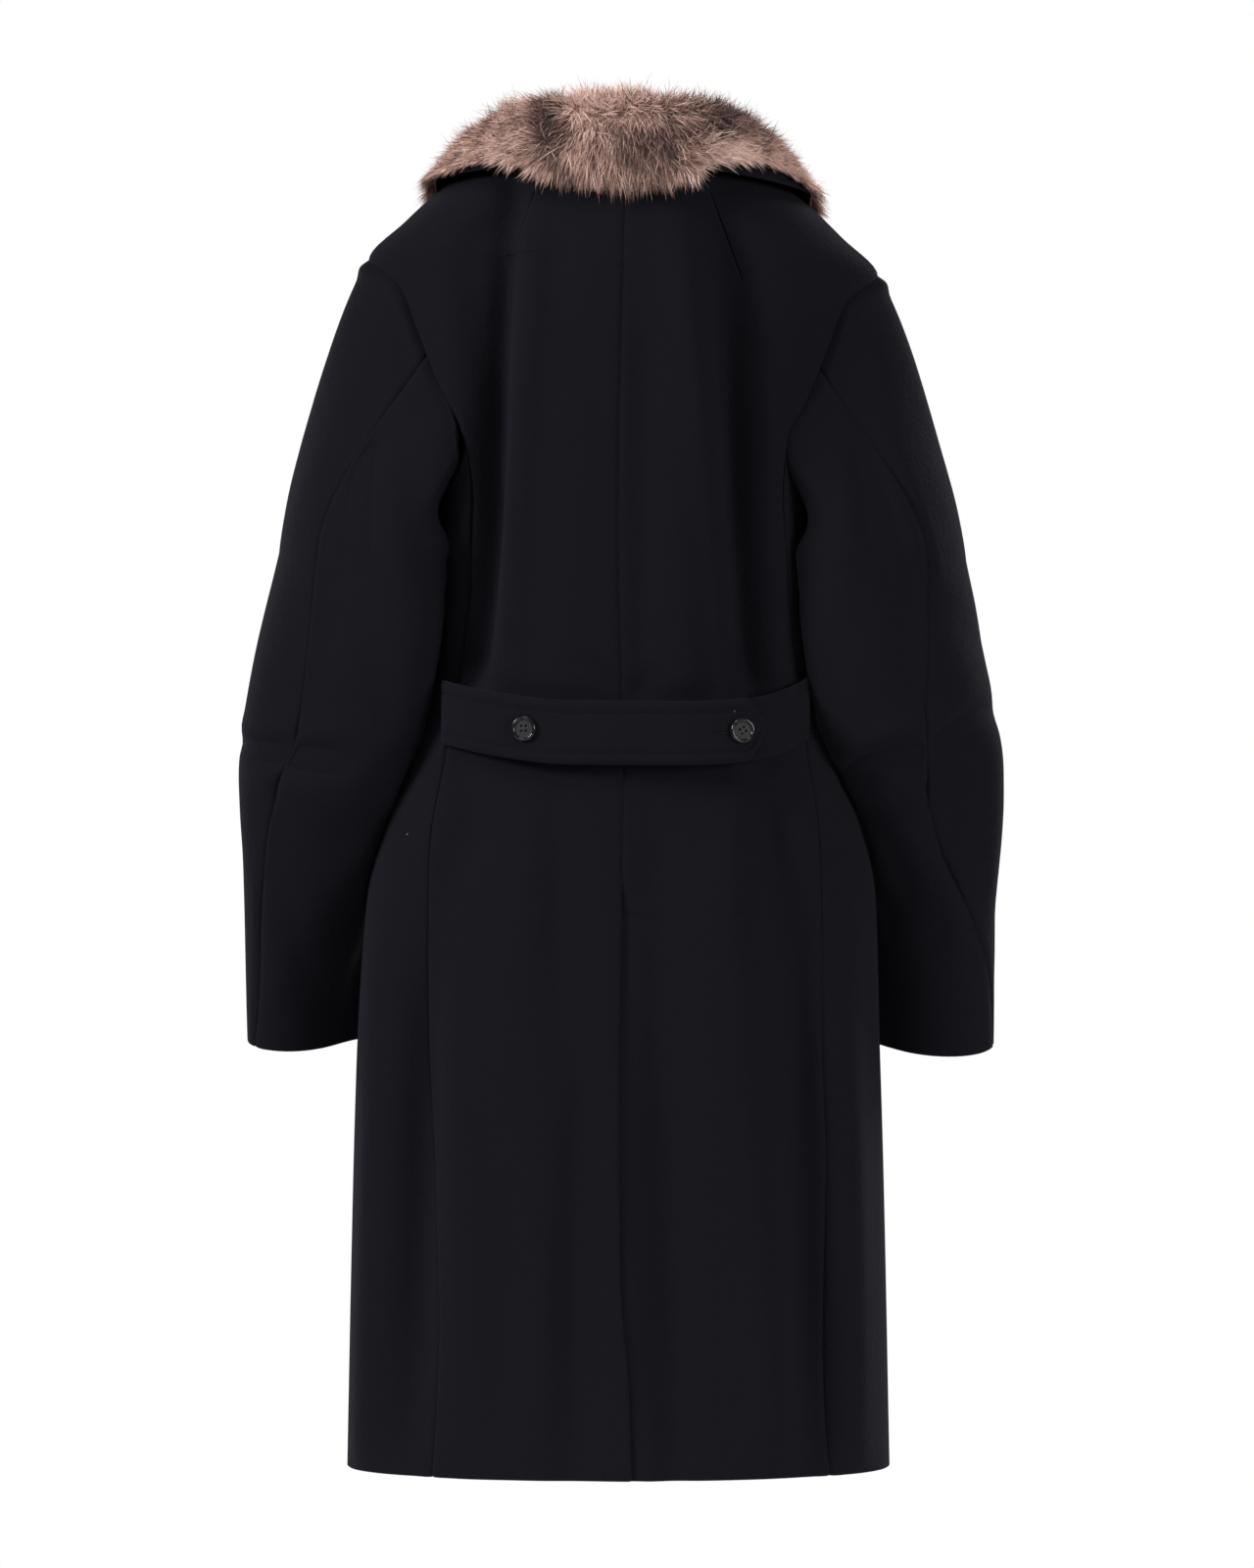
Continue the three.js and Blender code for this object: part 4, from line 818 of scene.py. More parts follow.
def sleeve_lengths():
    """Rows of a sleeve, close together beside the armhole and at the cuff."""
    head = [0, 0.006, 0.014, 0.024, 0.036, 0.05, 0.066, 0.084, 0.104, 0.128, 0.156, 0.19]
    cap = np.linspace(0.23, 1, 24)
    arm = np.linspace(1, len(SLEEVE_RINGS[1]), 74)[1:-1]
    cuff = len(SLEEVE_RINGS[1]) - np.array([0.05, 0.03, 0.015, 0])
    return np.concatenate([head, cap, arm[arm < cuff[0]], cuff])[:, None]


for word, side in SIDES:
    lengths = sleeve_lengths()
    seam = back_seam_turn(side, lengths)
    for part, start, stop in (
        ("top", SLEEVE_FRONT_SEAM, seam),
        ("under", seam, 360 + SLEEVE_FRONT_SEAM),
    ):
        shares = seam_shares(38, 0.20)[None, :]
        turn = blend(start, stop, shares)
        points = sleeve_point(side, turn, lengths)
        off_body = body_normal(side * armhole_angle(turn[:1]), armhole_z(turn[:1]))
        inward = unit(points[:1] - points[3:4]) - 0.6 * off_body
        turned_in = [points[:1] + unit(inward) * depth for depth in ARMHOLE_TURNING]
        points = np.concatenate(turned_in + [points])
        turn = np.concatenate([turn[:1]] * len(turned_in) + [turn])
        out = grid_normals(points) * side
        first, last = from_edges(points)
        step = np.linalg.norm(np.diff(points, axis=0, prepend=points[:1]), axis=-1)
        from_head = np.cumsum(step, axis=0)
        from_head = from_head - from_head[len(turned_in)]
        upper = ease(-0.35, 0.5, np.cos(np.radians(turn)))
        ridge = HEAD_RIDGE["lift"] * upper * bell(from_head - HEAD_RIDGE["at"], HEAD_RIDGE["width"])
        eased = ease(0, 0.012, from_head) * ease(0, 0.008, first) * ease(0, 0.008, last)
        front_face = 0.55 + 0.45 * ease(-0.3, 0.3, out[..., 1])
        relief = seam_relief(first) + seam_relief(last)
        creases = creased(points, SLEEVE_CREASES[side])
        relief = relief + ridge + creases * front_face * eased
        cloth_piece(f"{part}_sleeve_{word}", points, out, relief)

# ---------------------------------------------------------------- under collar
# The collar's own cloth, sewn to the neck seam. It stands up, folds over and lies on the shoulders
# and the lapels. Its rolled edge shows below the fur.
COLLAR_CLOTH = 0.002
COLLAR_SEAM = 0.0008
COLLAR_CLEAR = {"back": 0.0012, "front": 0.0072}
LAPELS_FROM = {"start": 0.5, "full": 0.72}
COLLAR_ROUND = {"stand": 0.0015, "over": 0.0015, "leaf": 0.005}
COLLAR = rows_of(
    "run lean stand edge_x edge_y edge_z pile",
    (0, 0.005, 0.043, 0.000, 0.101, 0.003, 0.017),
    (0.2, 0.007, 0.038, 0.070, 0.090, 0.009, 0.016),
    (0.36, 0.009, 0.017, 0.126, 0.057, 0.007, 0.015),
    (0.5, 0.010, 0.007, 0.153, 0.014, 0.003, 0.016),
    (0.75, 0.006, 0.009, 0.147, -0.062, -0.036, 0.018),
    (1, 0.003, 0.004, 0.118, -0.090, -0.086, 0.016),
)


def neck_seam(run):
    """The neck seam's points, from the centre back (0) past the neck point (0.5) to the front (1)."""
    side = np.where(run < 0, -1, 1)
    share = 2 * np.abs(run)
    z_back = back_neck_z(np.minimum(share, 1))
    back = body_form(blend(centre_seam(z_back), side * 90, np.minimum(share, 1)), z_back)
    ahead = np.clip(share - 1, 0, 1)
    z_front = front_neck_z(ahead)
    angle = blend(90, front_edge(z_front), ahead)
    step = np.where(run > 0, front_step(1, angle, z_front), 0)
    return np.where((share <= 1)[..., None], back, body_point(side * angle, z_front, step))


def smooth_curve(points, share):
    """A curve through points at an even share each, whose slopes weigh each step by the square
    root of its length."""
    before, after = 2 * points[0] - points[1], 2 * points[-1] - points[-2]
    chain = np.stack([before, *points, after])
    last = len(points) - 2
    place = np.clip(share, 0, 1) * (last + 1)
    i = np.minimum(place.astype(int), last)
    t = (place - i)[..., None]
    near = [np.take_along_axis(chain, (i + k)[None, ..., None], 0)[0] for k in range(4)]
    step = [np.linalg.norm(near[k + 1] - near[k], axis=-1, keepdims=True) ** 0.5 for k in range(3)]
    leave = (near[1] - near[0]) / step[0] - (near[2] - near[0]) / (step[0] + step[1])
    leave = (leave + (near[2] - near[1]) / step[1]) * step[1]
    arrive = (near[2] - near[1]) / step[1] - (near[3] - near[1]) / (step[1] + step[2])
    arrive = (arrive + (near[3] - near[2]) / step[2]) * step[1]
    return cubic(t, near[1], leave, near[2], arrive)


def collar_clear(run):
    """How far the collar stays off the body: more where it lies on the lapels."""
    on_lapels = ease(LAPELS_FROM["start"], LAPELS_FROM["full"], np.abs(run))
    return blend(COLLAR_CLEAR["back"], COLLAR_CLEAR["front"], on_lapels)


def collar_point(run, share):
    """The collar, round the neck and from the seam up the stand, over the fold and down the leaf."""
    run, share = np.broadcast_arrays(np.asarray(run, float), np.asarray(share, float))
    row = read_table(COLLAR, "run", np.abs(run))
    side = np.where(run < 0, -1, 1)
    seam = neck_seam(run)
    up = np.array([0, 0, 1.0])
    away = unit(np.stack([seam[..., 0], seam[..., 1] - 0.004, 0 * seam[..., 0]], -1))
    foot = seam + up * COLLAR_SEAM
    fold = seam + away * row["lean"][..., None] + up * row["stand"][..., None]
    edge = np.stack([side * row["edge_x"], row["edge_y"], row["edge_z"]], -1)
    edge = clear_of_body(edge, collar_clear(run))
    half = blend(fold, edge, 0.45) + up * COLLAR_ROUND["leaf"]
    before = blend(foot, fold, 0.55) - away * COLLAR_ROUND["stand"]
    over = blend(fold, half, 0.28) + (away + up) * COLLAR_ROUND["over"]
    point = smooth_curve([foot, before, fold, over, half, edge], share)
    leaf = ease(0.45, 0.6, share)
    lifted = clear_of_body(point, (collar_clear(run) + COLLAR_CLOTH) * leaf)
    return np.where((leaf > 0)[..., None], lifted, point)


def collar_out(run, share):
    """The direction out of the collar's upper side, by small steps along and down it."""
    r, s = np.clip(run, -0.985, 0.985), np.clip(share, 0.03, 0.97)
    along = collar_point(r + 0.012, s) - collar_point(r - 0.012, s)
    down = collar_point(r, s + 0.025) - collar_point(r, s - 0.025)
    return unit(np.cross(along, down))


runs = np.linspace(-1, 1, 141)[:, None]
shares = np.concatenate([np.linspace(0, 0.97, 42), [0.985, 0.995, 1]])[None, :]
points = collar_point(runs, shares)
cloth_piece("under_collar", points, collar_out(runs, shares), 0 * points[..., 0],
            COLLAR_CLOTH)

# ---------------------------------------------------------------- fur collar
# Long fur on the upper side of the collar: soft brown underfur, and guard hairs that run from dusty
# pink to brown and end in dark tips. The underfur and the hairs' roots are painted darker, partly as
# their own colour and partly as painted shade among the hairs, and some places on the locks carry
# painted shade and painted light. It parts into locks that lie different ways.
FUR_INSIDE = {"seam": 0.005, "fold": 0.015}
FUR_EDGE = {"past": 1.06, "over": 0.2}
FUR_END = {"past": 1.04, "over": 0.12}
REST_GAP = 0.0003  # how far a piece lies off the one that carries it
STRANDS = 112000
LOCKS = 1100
BARE_EDGE = {"left": 0.04, "right": 0.11, "at": 0.34, "wide": 0.12}
STRAND = {
    "width": 0.00064, "steps": (0.0, 0.34, 0.70, 1.0),
    "inside": 0.012, "leaf": 0.0235, "edge": 0.031,
}
FUR_CHANCE = {  # spreads, ranges and shares of the hairs and locks
    "lock_light": 0.34, "lock_lean": 0.40, "lean": 0.22, "light": 0.38, "twist": 0.5,
    "long": (0.62, 1.0), "stray_long": (1.0, 1.22), "stand": (0.45, 0.95), "wide": (0.6, 1.25),
    "stray": 0.08, "dark_tip": 0.24, "dark_tip_more_at_fold": 0.22,
}
FUR_TONE = 0.36
PALE_FUR = (0.70, 0.50, 0.43)
LIGHT_FUR = (0.52, 0.325, 0.262)
BROWN_FUR = (0.215, 0.112, 0.088)
DARK_FUR = (0.030, 0.017, 0.018)

# How the locks lie: a place seen from behind, how wide it spreads, how dark the fur is there
# (below 0) or light (above 0), and which way the hairs lie along x and z. The dark and light are
# partly the fur's own patches and partly painted shade where locks shade one another and painted
# light where they catch the light.
FUR_LAY = rows_of(
    "x z wide tall light flow_x flow_z",
    (0.052, 0.039, 0.012, 0.015, -2.3, 0.9, -0.5),
    (0.069, 0.053, 0.014, 0.009, 0.30, 1.0, 0.25),
    (0.067, 0.030, 0.007, 0.010, 0.55, 0.9, 0.5),
    (0.099, 0.020, 0.034, 0.020, 0.12, 0.9, 0.3),
    (0.016, 0.059, 0.036, 0.012, 1.25, 0.1, 0.9),
    (-0.010, 0.032, 0.030, 0.014, -0.95, -0.1, -0.9),
    (0.036, 0.006, 0.016, 0.010, -0.55, 0.3, -1.0),
    (-0.004, 0.004, 0.040, 0.014, -0.75, -0.15, -1.0),
    (-0.070, 0.058, 0.010, 0.008, -0.70, -0.2, 1.0),
    (-0.064, 0.043, 0.024, 0.008, -1.75, -1.0, 0.25),
    (-0.044, 0.020, 0.018, 0.007, -1.00, -0.8, 0.4),
    (-0.074, 0.021, 0.026, 0.011, 1.70, -0.7, 0.7),
    (-0.118, 0.014, 0.030, 0.022, 0.75, -1.0, 0.1),
    (-0.100, 0.036, 0.014, 0.008, -1.00, -0.8, 0.5),
    (0.150, -0.010, 0.016, 0.026, 0.25, 1.0, -0.1),
    (-0.150, -0.012, 0.016, 0.026, 0.55, -1.0, -0.3),
)


def fur_depth(run, share):
    """How deep the fur is: thin inside the neck, deep on the leaf, rounded off at its edges."""
    pile = read_table(COLLAR, "run", np.abs(run))["pile"]
    inside = blend(FUR_INSIDE["seam"], FUR_INSIDE["fold"], ease(0, 0.42, share))
    leaf = blend(inside, pile, ease(0.42, 0.72, share))
    edge = np.sqrt(np.clip((FUR_EDGE["past"] - share) / FUR_EDGE["over"], 0, 1))
    end = np.sqrt(np.clip((FUR_END["past"] - np.abs(run)) / FUR_END["over"], 0, 1))
    return leaf * edge * end


def fur_material(name):
    """Hair: the colour attribute of the strands, streaked by a noise, with a soft gloss."""
    material, shader = new_material(name)
    colour = new_node(material, "Attribute", attribute_name="fur_colour")["Color"]
    streak = {"Value": noise_at(material, 420), "To Min": 0.60, "To Max": 1.45}
    tone = new_node(material, "MapRange", streak)["Result"]
    scaled = new_node(material, "VectorMath", {0: colour, "Scale": tone}, operation="SCALE")
    set_sockets(material, shader, {
        "Base Color": scaled["Vector"], "Roughness": 0.55, "Specular IOR Level": 0.25,
        "Sheen Weight": 0.15, "Sheen Roughness": 0.5,
    })
    return material


def paint(piece, colours):
    """Writes a colour for each vertex."""
    attribute = piece.data.attributes.new("fur_colour", "FLOAT_COLOR", "POINT")
    rgba = np.concatenate([colours, np.ones((len(colours), 1))], axis=1)
    attribute.data.foreach_set("color", rgba.astype(np.float32).ravel())


def waves(points, scale, seed):
    """A smooth random value for each point, about -1 to 1: a sum of a few waves in random ways."""
    chance = np.random.default_rng(seed)
    total = 0
    for _ in range(7):
        way = chance.normal(0, scale, 3)
        total = total + np.sin(points @ way + chance.uniform(0, 6.28))
    return total / 3.2


def fur_ends(run):
    """The share of the collar's section that the fur covers: all of it but behind the shoulders,
    where the black edge of the collar shows below the fur."""
    bare = np.where(run > 0, BARE_EDGE["left"], BARE_EDGE["right"])
    return 1 - bare * bell(np.abs(run) - BARE_EDGE["at"], BARE_EDGE["wide"])


def fur_lay(points, run, share):
    """The lightness and the lie of the fur at points. The lightness is partly the fur's own patches and
    partly painted shade and painted light on the locks, and is added behind only. It lies up at the fold
    and down at the edge, away from the middle, and each place of the table counts by a bell."""
    x, z = points[..., 0], points[..., 2]
    wing = ease(0.10, 0.26, np.abs(run)) * ease(0.66, 0.50, np.abs(run))
    down = ease(0.44, 0.80, share) * (1 - 0.72 * wing)
    flow = np.stack([np.clip(5 * x, -0.6, 0.6), 0 * x, blend(0.55, -1.0, down)], -1)
    light = 0 * x
    behind = ease(-0.02, 0.03, points[..., 1])
    for spot in FUR_LAY:
        weight = behind * bell(x - spot["x"], spot["wide"]) * bell(z - spot["z"], spot["tall"])
        light = light + weight * spot["light"]
        lie = np.array([spot["flow_x"], 0, spot["flow_z"]])
        flow = flow * (1 - 0.85 * weight)[..., None] + lie * (1.3 * weight)[..., None]
    return light, flow


def fur_shade(light):
    """A colour from dark through brown to light and pale, by a value about -1 to 1."""
    stops = np.array([-1.1, -0.35, 0.35, 1.1])
    ramp = np.array([DARK_FUR, BROWN_FUR, LIGHT_FUR, PALE_FUR])
    return np.stack([np.interp(light, stops, ramp[:, k]) for k in range(3)], -1)


def even_places(count, chance):
    """Random places all over the collar's upper side, as many on each square of it: the runs and
    shares of a grid's cells are drawn by the cells' areas."""
    runs, shares = np.linspace(-1, 1, 161), np.linspace(0.10, 1, 41)
    grid = collar_point(runs[:, None], shares[None, :])
    along, down = np.diff(grid, axis=0)[:, :-1], np.diff(grid, axis=1)[:-1]
    area = np.linalg.norm(np.cross(along, down), axis=-1)
    cell = chance.choice(area.size, count, p=area.ravel() / area.sum())
    i, j = np.divmod(cell, area.shape[1])
    run = runs[i] + (runs[1] - runs[0]) * chance.random(count)
    return run, shares[j] + (shares[1] - shares[0]) * chance.random(count)


def hair_reach(run, share):
    """How long the hairs are: short inside the neck, long on the leaf, longest at the edge behind,
    shorter at the shoulders and at the ends."""
    full = blend(STRAND["inside"], STRAND["leaf"], ease(0.25, 0.45, share))
    full = blend(full, STRAND["edge"], ease(0.74, 0.95, share) * ease(0.34, 0.16, np.abs(run)))
    full = full * (1 - 0.30 * ease(0.60, 0.80, share) * bell(np.abs(run) - BARE_EDGE["at"], 0.16))
    return full * blend(1, 0.75, ease(0.82, 1.0, np.abs(run)))


def along_surface(vectors, out, share=1.0):
    """Vectors less that share of what stands up from the surface."""
    return vectors - share * out * np.einsum("ij,ij->i", vectors, out)[:, None]


def strands(count, seed):
    """Ribbons of hair. Each starts in the underfur, rises along the collar's outward direction and
    leans over the way the fur lies, while its lock's hairs draw together and their tips bend down."""
    chance = np.random.default_rng(seed)
    run, share = even_places(count, chance)
    share = 0.1 + (share - 0.1) * (fur_ends(run) - 0.1) / 0.9
    lock_run, lock_share = even_places(LOCKS, chance)
    lock_place = collar_point(lock_run, lock_share)
    lock_lean = chance.normal(0, 1, (LOCKS, 3))
    lock_light = chance.normal(0, FUR_CHANCE["lock_light"], LOCKS)
    base = collar_point(run, share)
    own = np.concatenate([
        np.argmin(((base[k:k + 4000, None, :] - lock_place[None]) ** 2).sum(-1), axis=1)
        for k in range(0, count, 4000)
    ])
    out = collar_out(run, share)
    light, flow = fur_lay(base, run, share)
    flow = flow + FUR_CHANCE["lock_lean"] * lock_lean[own]
    flow = flow + chance.normal(0, FUR_CHANCE["lean"], (count, 3))
    flow = unit(along_surface(flow, out, 0.8))
    edge = ease(0.74, 0.95, share)
    long = chance.uniform(*FUR_CHANCE["long"], count)
    stray = chance.random(count) < FUR_CHANCE["stray"]
    long = np.where(stray, chance.uniform(*FUR_CHANCE["stray_long"], count), long)
    stand = chance.uniform(*FUR_CHANCE["stand"], count) * (1 - 0.35 * edge)
    gather = along_surface(lock_place[own] - base, out)
    t = np.array(STRAND["steps"])[None, :, None]
    reach = (hair_reach(run, share) * long)[:, None, None]
    middle = (
        base[:, None, :] + out[:, None, :] * 0.0012
        + out[:, None, :] * reach * stand[:, None, None] * (t - 0.30 * t**2)
        + flow[:, None, :] * reach * (0.30 * t + 0.42 * t**2)
        + gather[:, None, :] * 0.40 * t**1.5
    )
    middle[..., 2] -= (reach * (0.07 + 0.16 * edge[:, None, None]) * t**2)[..., 0]
    ahead = unit(np.gradient(middle, axis=1))
    faced = unit(out + chance.normal(0, FUR_CHANCE["twist"], (count, 3)))
    side_way = unit(np.cross(ahead, faced[:, None, :]))
    width = STRAND["width"] * chance.uniform(*FUR_CHANCE["wide"], count)[:, None, None]
    width = width * np.array([0.8, 1.0, 0.66, 0.0])[None, :, None]
    left, right = middle - side_way * width / 2, middle + side_way * width / 2
    points = np.concatenate([left[:, :3], right[:, :3], middle[:, 3:]], axis=1)
    patch = 0.26 * waves(base, 60, 5) + 0.20 * waves(base, 190, 6)
    light = light + patch + lock_light[own] + chance.normal(0, FUR_CHANCE["light"], count) + FUR_TONE
    crest = ease(0.34, 0.44, share) * ease(0.60, 0.50, share)
    more = FUR_CHANCE["dark_tip_more_at_fold"] * crest
    dark = chance.random(count) < FUR_CHANCE["dark_tip"] + more
    tip = np.where(dark, -1.6, 0.12)
    at = np.array(STRAND["steps"][:3] * 2 + STRAND["steps"][3:])
    # Each hair is painted darker towards its root, partly the fur's own dark base and partly painted
    # shade deep among the hairs; the dark tips are the fur's own colour.
    shade = light[:, None] - 1.25 * (1 - ease(0, 0.62, at)) + tip[:, None] * ease(0.55, 0.95, at)
    corner = 7 * np.arange(count)[:, None, None]
    pattern = np.array([[0, 3, 4], [0, 4, 1], [1, 4, 5], [1, 5, 2], [2, 5, 6]])
    faces = (corner + pattern[None]).reshape(-1, 3)
    return points.reshape(-1, 3), faces, fur_shade(shade).reshape(-1, 3)


fur = fur_material("fur")
runs = np.linspace(-1, 1, 131)[:, None]
shares = blend(1 / 11, fur_ends(runs), np.linspace(0, 1, 42)[None, :])
base = collar_point(runs, shares)
out = collar_out(runs, shares)
base = base + out * REST_GAP
puff = 0.32 * fur_depth(runs, shares) * (1 + 0.16 * waves(base, 260, 9))
pelt = make_wall("fur_collar_underfur", base + out * puff[..., None], base, fur)
light, _ = fur_lay(base, runs, shares)
# The underfur is painted darker than the hairs, partly its own brown and partly painted shade under the
# hairs, and it takes the painted shade and light of the locks.
shade = fur_shade(0.7 * light + 0.26 * waves(base, 60, 5) - 0.55)
rim_count = len(pelt.data.vertices) - 2 * shade.reshape(-1, 3).shape[0]
paint(pelt, np.concatenate([shade.reshape(-1, 3)] * 2 + [np.full((rim_count, 3), BROWN_FUR)]))
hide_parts("fur_collar")
for part in range(4):
    points, faces, colours = strands(STRANDS // 4, 30 + part)
    paint(make_mesh(f"fur_hairs_{part + 1}", hang(points), faces, fur), colours)

# ---------------------------------------------------------------- half belt
# Two straps of melton, each sewn into the side seam behind. Their edges are stitched all round. The
# left one ends in a blunt point and buttons over the right one.
BELT_WIDTH = 0.050
BELT_CLOTH = 0.003
BELT = rows_of(
    "angle z off",
    (57, -0.430, 0.0031), (54, -0.431, 0.0055), (47, -0.434, 0.008), (34, -0.440, 0.0115),
    (12, -0.447, 0.013), (-14, -0.4475, 0.013), (-34, -0.444, 0.012), (-47, -0.436, 0.008),
    (-56, -0.428, 0.006), (-59, -0.426, 0.0031),
)
BELT_MIDDLE_Z = -0.447
BELT_ENDS = {"left": 57, "right": -59}
BELT_POINT = {"angle": -37.5, "length": 5.5, "share": 0.16}
RIGHT_STRAP_END = -20
STRAP_RISE = {"from": 16, "to": 3}
STITCH = {"in": 0.0088, "every": 0.0033, "long": 0.0023, "thick": 0.00062}
STITCH_GROOVE = {"depth": 0.0010, "width": 0.0016}
EDGE_CROWN = {"dip": 0.0011, "width": 0.0016}
STRAP_WAVE = {"lift": 0.0011, "a_degree": 0.16, "start": 1.3}
STRAP_SINK = {"by": 0.0032, "from": (-30, -36), "up_to": (-59, -50)}
POINT_BEND = {"by": 0.0010, "spread": 2.5}
THREAD_DARK = (0.0042, 0.0042, 0.0056, 1)
THREAD_LIGHT = (0.0085, 0.0085, 0.0108, 1)


def belt_place(angle, off):
    """A point on the belt's middle line so far over its resting line, and its outward direction."""
    row = read_table(BELT, "angle", angle)
    x, y, out_x, out_y = outline(read_table(BODY, "z", row["z"]), angle)
    out = np.stack([out_x, out_y, 0 * x], -1)
    return np.stack([x, y, row["z"]], -1) + out * (row["off"] + off)[..., None], out


def strap_top(side, angle):
    """How far a strap's outer face lies over the resting line: the left one climbs on the right."""
    climbed = ease(RIGHT_STRAP_END + STRAP_RISE["from"], RIGHT_STRAP_END + STRAP_RISE["to"], angle)
    return BELT_CLOTH + (climbed * (BELT_CLOTH + REST_GAP) if side > 0 else 0 * climbed)


def strap_half_width(side, angle):
    """Half the strap's width: the left one narrows evenly to its blunt point."""
    to_tip = np.clip((angle - BELT_POINT["angle"]) / BELT_POINT["length"], 0, 1)
    narrow = blend(BELT_POINT["share"], 1, to_tip) if side > 0 else 1.0 + 0 * angle
    return BELT_WIDTH / 2 * narrow


def strap_ease(side, angle, up):
    """How a strap gives: a slow wave along its middle, the right one sunk where it comes out from
    under the left one, and the left one's point bent down on to it."""
    wave = STRAP_WAVE["lift"] * (1 - (2 * up / BELT_WIDTH) ** 2)
    wave = wave * np.sin(STRAP_WAVE["a_degree"] * angle + STRAP_WAVE["start"] * side)
    if side < 0:
        sunk = STRAP_SINK["by"] * ease(*STRAP_SINK["from"], angle)
        return wave - sunk * ease(*STRAP_SINK["up_to"], angle)
    return wave - POINT_BEND["by"] * bell(angle - BELT_POINT["angle"], POINT_BEND["spread"])


def stitch_row(points, out, thread_name):
    """Stitches along a line of points: each is a short round bead with pointed ends, and they are
    all joined in one mesh."""
    ahead = unit(np.gradient(points, axis=0))
    across = np.cross(out, ahead)
    ring = np.radians(np.arange(6) * 60)[None, :, None]
    round_way = across[:, None, :] * np.cos(ring) + out[:, None, :] * np.sin(ring)
    half = STITCH["long"] / 2
    beads = [
        (points + ahead * shift * half)[:, None, :] + round_way * STITCH["thick"] / 2 * size
        for shift, size in ((-1, 0.25), (-0.55, 0.95), (0.55, 0.95), (1, 0.25))
    ]
    vertices = np.stack(beads, 1).reshape(-1, 3)
    low = np.arange(6)
    after = (low + 1) % 6
    quads = np.stack([low, after, 6 + after, 6 + low], -1)
    caps = np.array([[0, 5, 4, 3], [3, 2, 1, 0], [18, 19, 20, 21], [21, 22, 23, 18]])
    pattern = np.concatenate([quads, quads + 6, quads + 12, caps])
    faces = (24 * np.arange(len(points))[:, None, None] + pattern[None]).reshape(-1, 4)
    make_mesh(thread_name, hang(vertices), faces, thread)


def resampled(points, out, every):
    """The same line with points at even distances."""
    step = np.linalg.norm(np.diff(points, axis=0), axis=-1)
    along = np.concatenate([[0], np.cumsum(step)])
    places = np.arange(every / 2, along[-1], every)
    pick = lambda values: np.stack([np.interp(places, along, values[:, k]) for k in range(3)], -1)
    return pick(points), unit(pick(out))


def sew_along(angles, off, rise, every, name):
    """Stitches along the belt at those angles, so far over its resting line and off its middle."""
    place, way = belt_place(angles, off)
    place[:, 2] += rise
    stitch_row(*resampled(place, way, every), name)


thread, thread_shader = new_material("thread")
twist = ramp_between(thread, noise_at(thread, 1400), 0.3, 0.7, THREAD_DARK, THREAD_LIGHT)
set_sockets(thread, thread_shader, {"Base Color": twist, "Roughness": 0.7, "Specular IOR Level": 0.05})

for word, side in SIDES:
    start = BELT_ENDS[word]
    stop = BELT_POINT["angle"] if side > 0 else RIGHT_STRAP_END
    angles = np.linspace(start, stop, 140)
    near_tip = stop + np.sign(start - stop) * np.array([0.6, 0.3, 0.12, 0.0])
    angles = np.concatenate([angles[np.abs(angles - stop) > 0.7], near_tip])[None, :]
    near_edge = np.array([0.86, 0.92, 0.96, 0.985, 1])
    across = np.concatenate([-near_edge[::-1], np.linspace(-0.78, 0.78, 21), near_edge])
    half = strap_half_width(side, angles)
    up = across[:, None] * half
    points, out = belt_place(angles + 0 * up, strap_top(side, angles) + 0 * up)
    points[..., 2] += up
    to_edge = half - np.abs(up)
    to_end = np.abs(angles - stop) / degrees_per_metre(angles, BELT_MIDDLE_Z + 0 * angles) + 0 * up
    inside = np.minimum(to_edge, to_end if side < 0 else to_edge)
    groove = STITCH_GROOVE["depth"] * bell(inside - STITCH["in"], STITCH_GROOVE["width"])
    groove = groove * (1 if side > 0 else ease(0.0, 0.006, to_edge))
    relief = strap_ease(side, angles, up) - groove - EDGE_CROWN["dip"] * bell(inside, EDGE_CROWN["width"])
    cloth_piece(f"belt_{word}", points, out, relief, wall=BELT_CLOTH)
    for mark, sign in (("top", 1), ("foot", -1)):
        line = np.linspace(start + np.sign(stop - start) * 0.8, stop, 400)
        reach = np.maximum(strap_half_width(side, line) - STITCH["in"], 0)
        shown = (reach > 0.0004) & (np.abs(line - stop) > (1.6 if side > 0 else 4.2))
        line, rise = line[shown], sign * reach[shown]
        sunk = strap_ease(side, line, rise) - 0.60 * STITCH_GROOVE["depth"]
        off = strap_top(side, line) + sunk
        sew_along(line, off, rise, STITCH["every"], f"belt_{word}_stitches_{mark}")

# The buttonhole beside the right button: two rows of close stitches along the slit and a bar across
# its end.
HOLE = {"from": -21.9, "to": -26.6, "gap": 0.0016, "every": 0.00085 * 2.4}
HOLE_BAR = {"reach": 0.0032, "every": 0.0021}
line = np.linspace(HOLE["from"], HOLE["to"], 200)
over = strap_top(1, line) + strap_ease(1, line, 0 * line) + 0.0001
for mark, sign in (("top", 1), ("foot", -1)):
    sew_along(line, over, sign * HOLE["gap"], HOLE["every"], f"buttonhole_{mark}")
bar = np.linspace(-HOLE_BAR["reach"], HOLE_BAR["reach"], 60)
end = HOLE["from"] + 0 * bar
over = strap_top(1, end) + strap_ease(1, end, bar) + 0.0002
sew_along(end, over, bar, HOLE_BAR["every"], "buttonhole_bar")

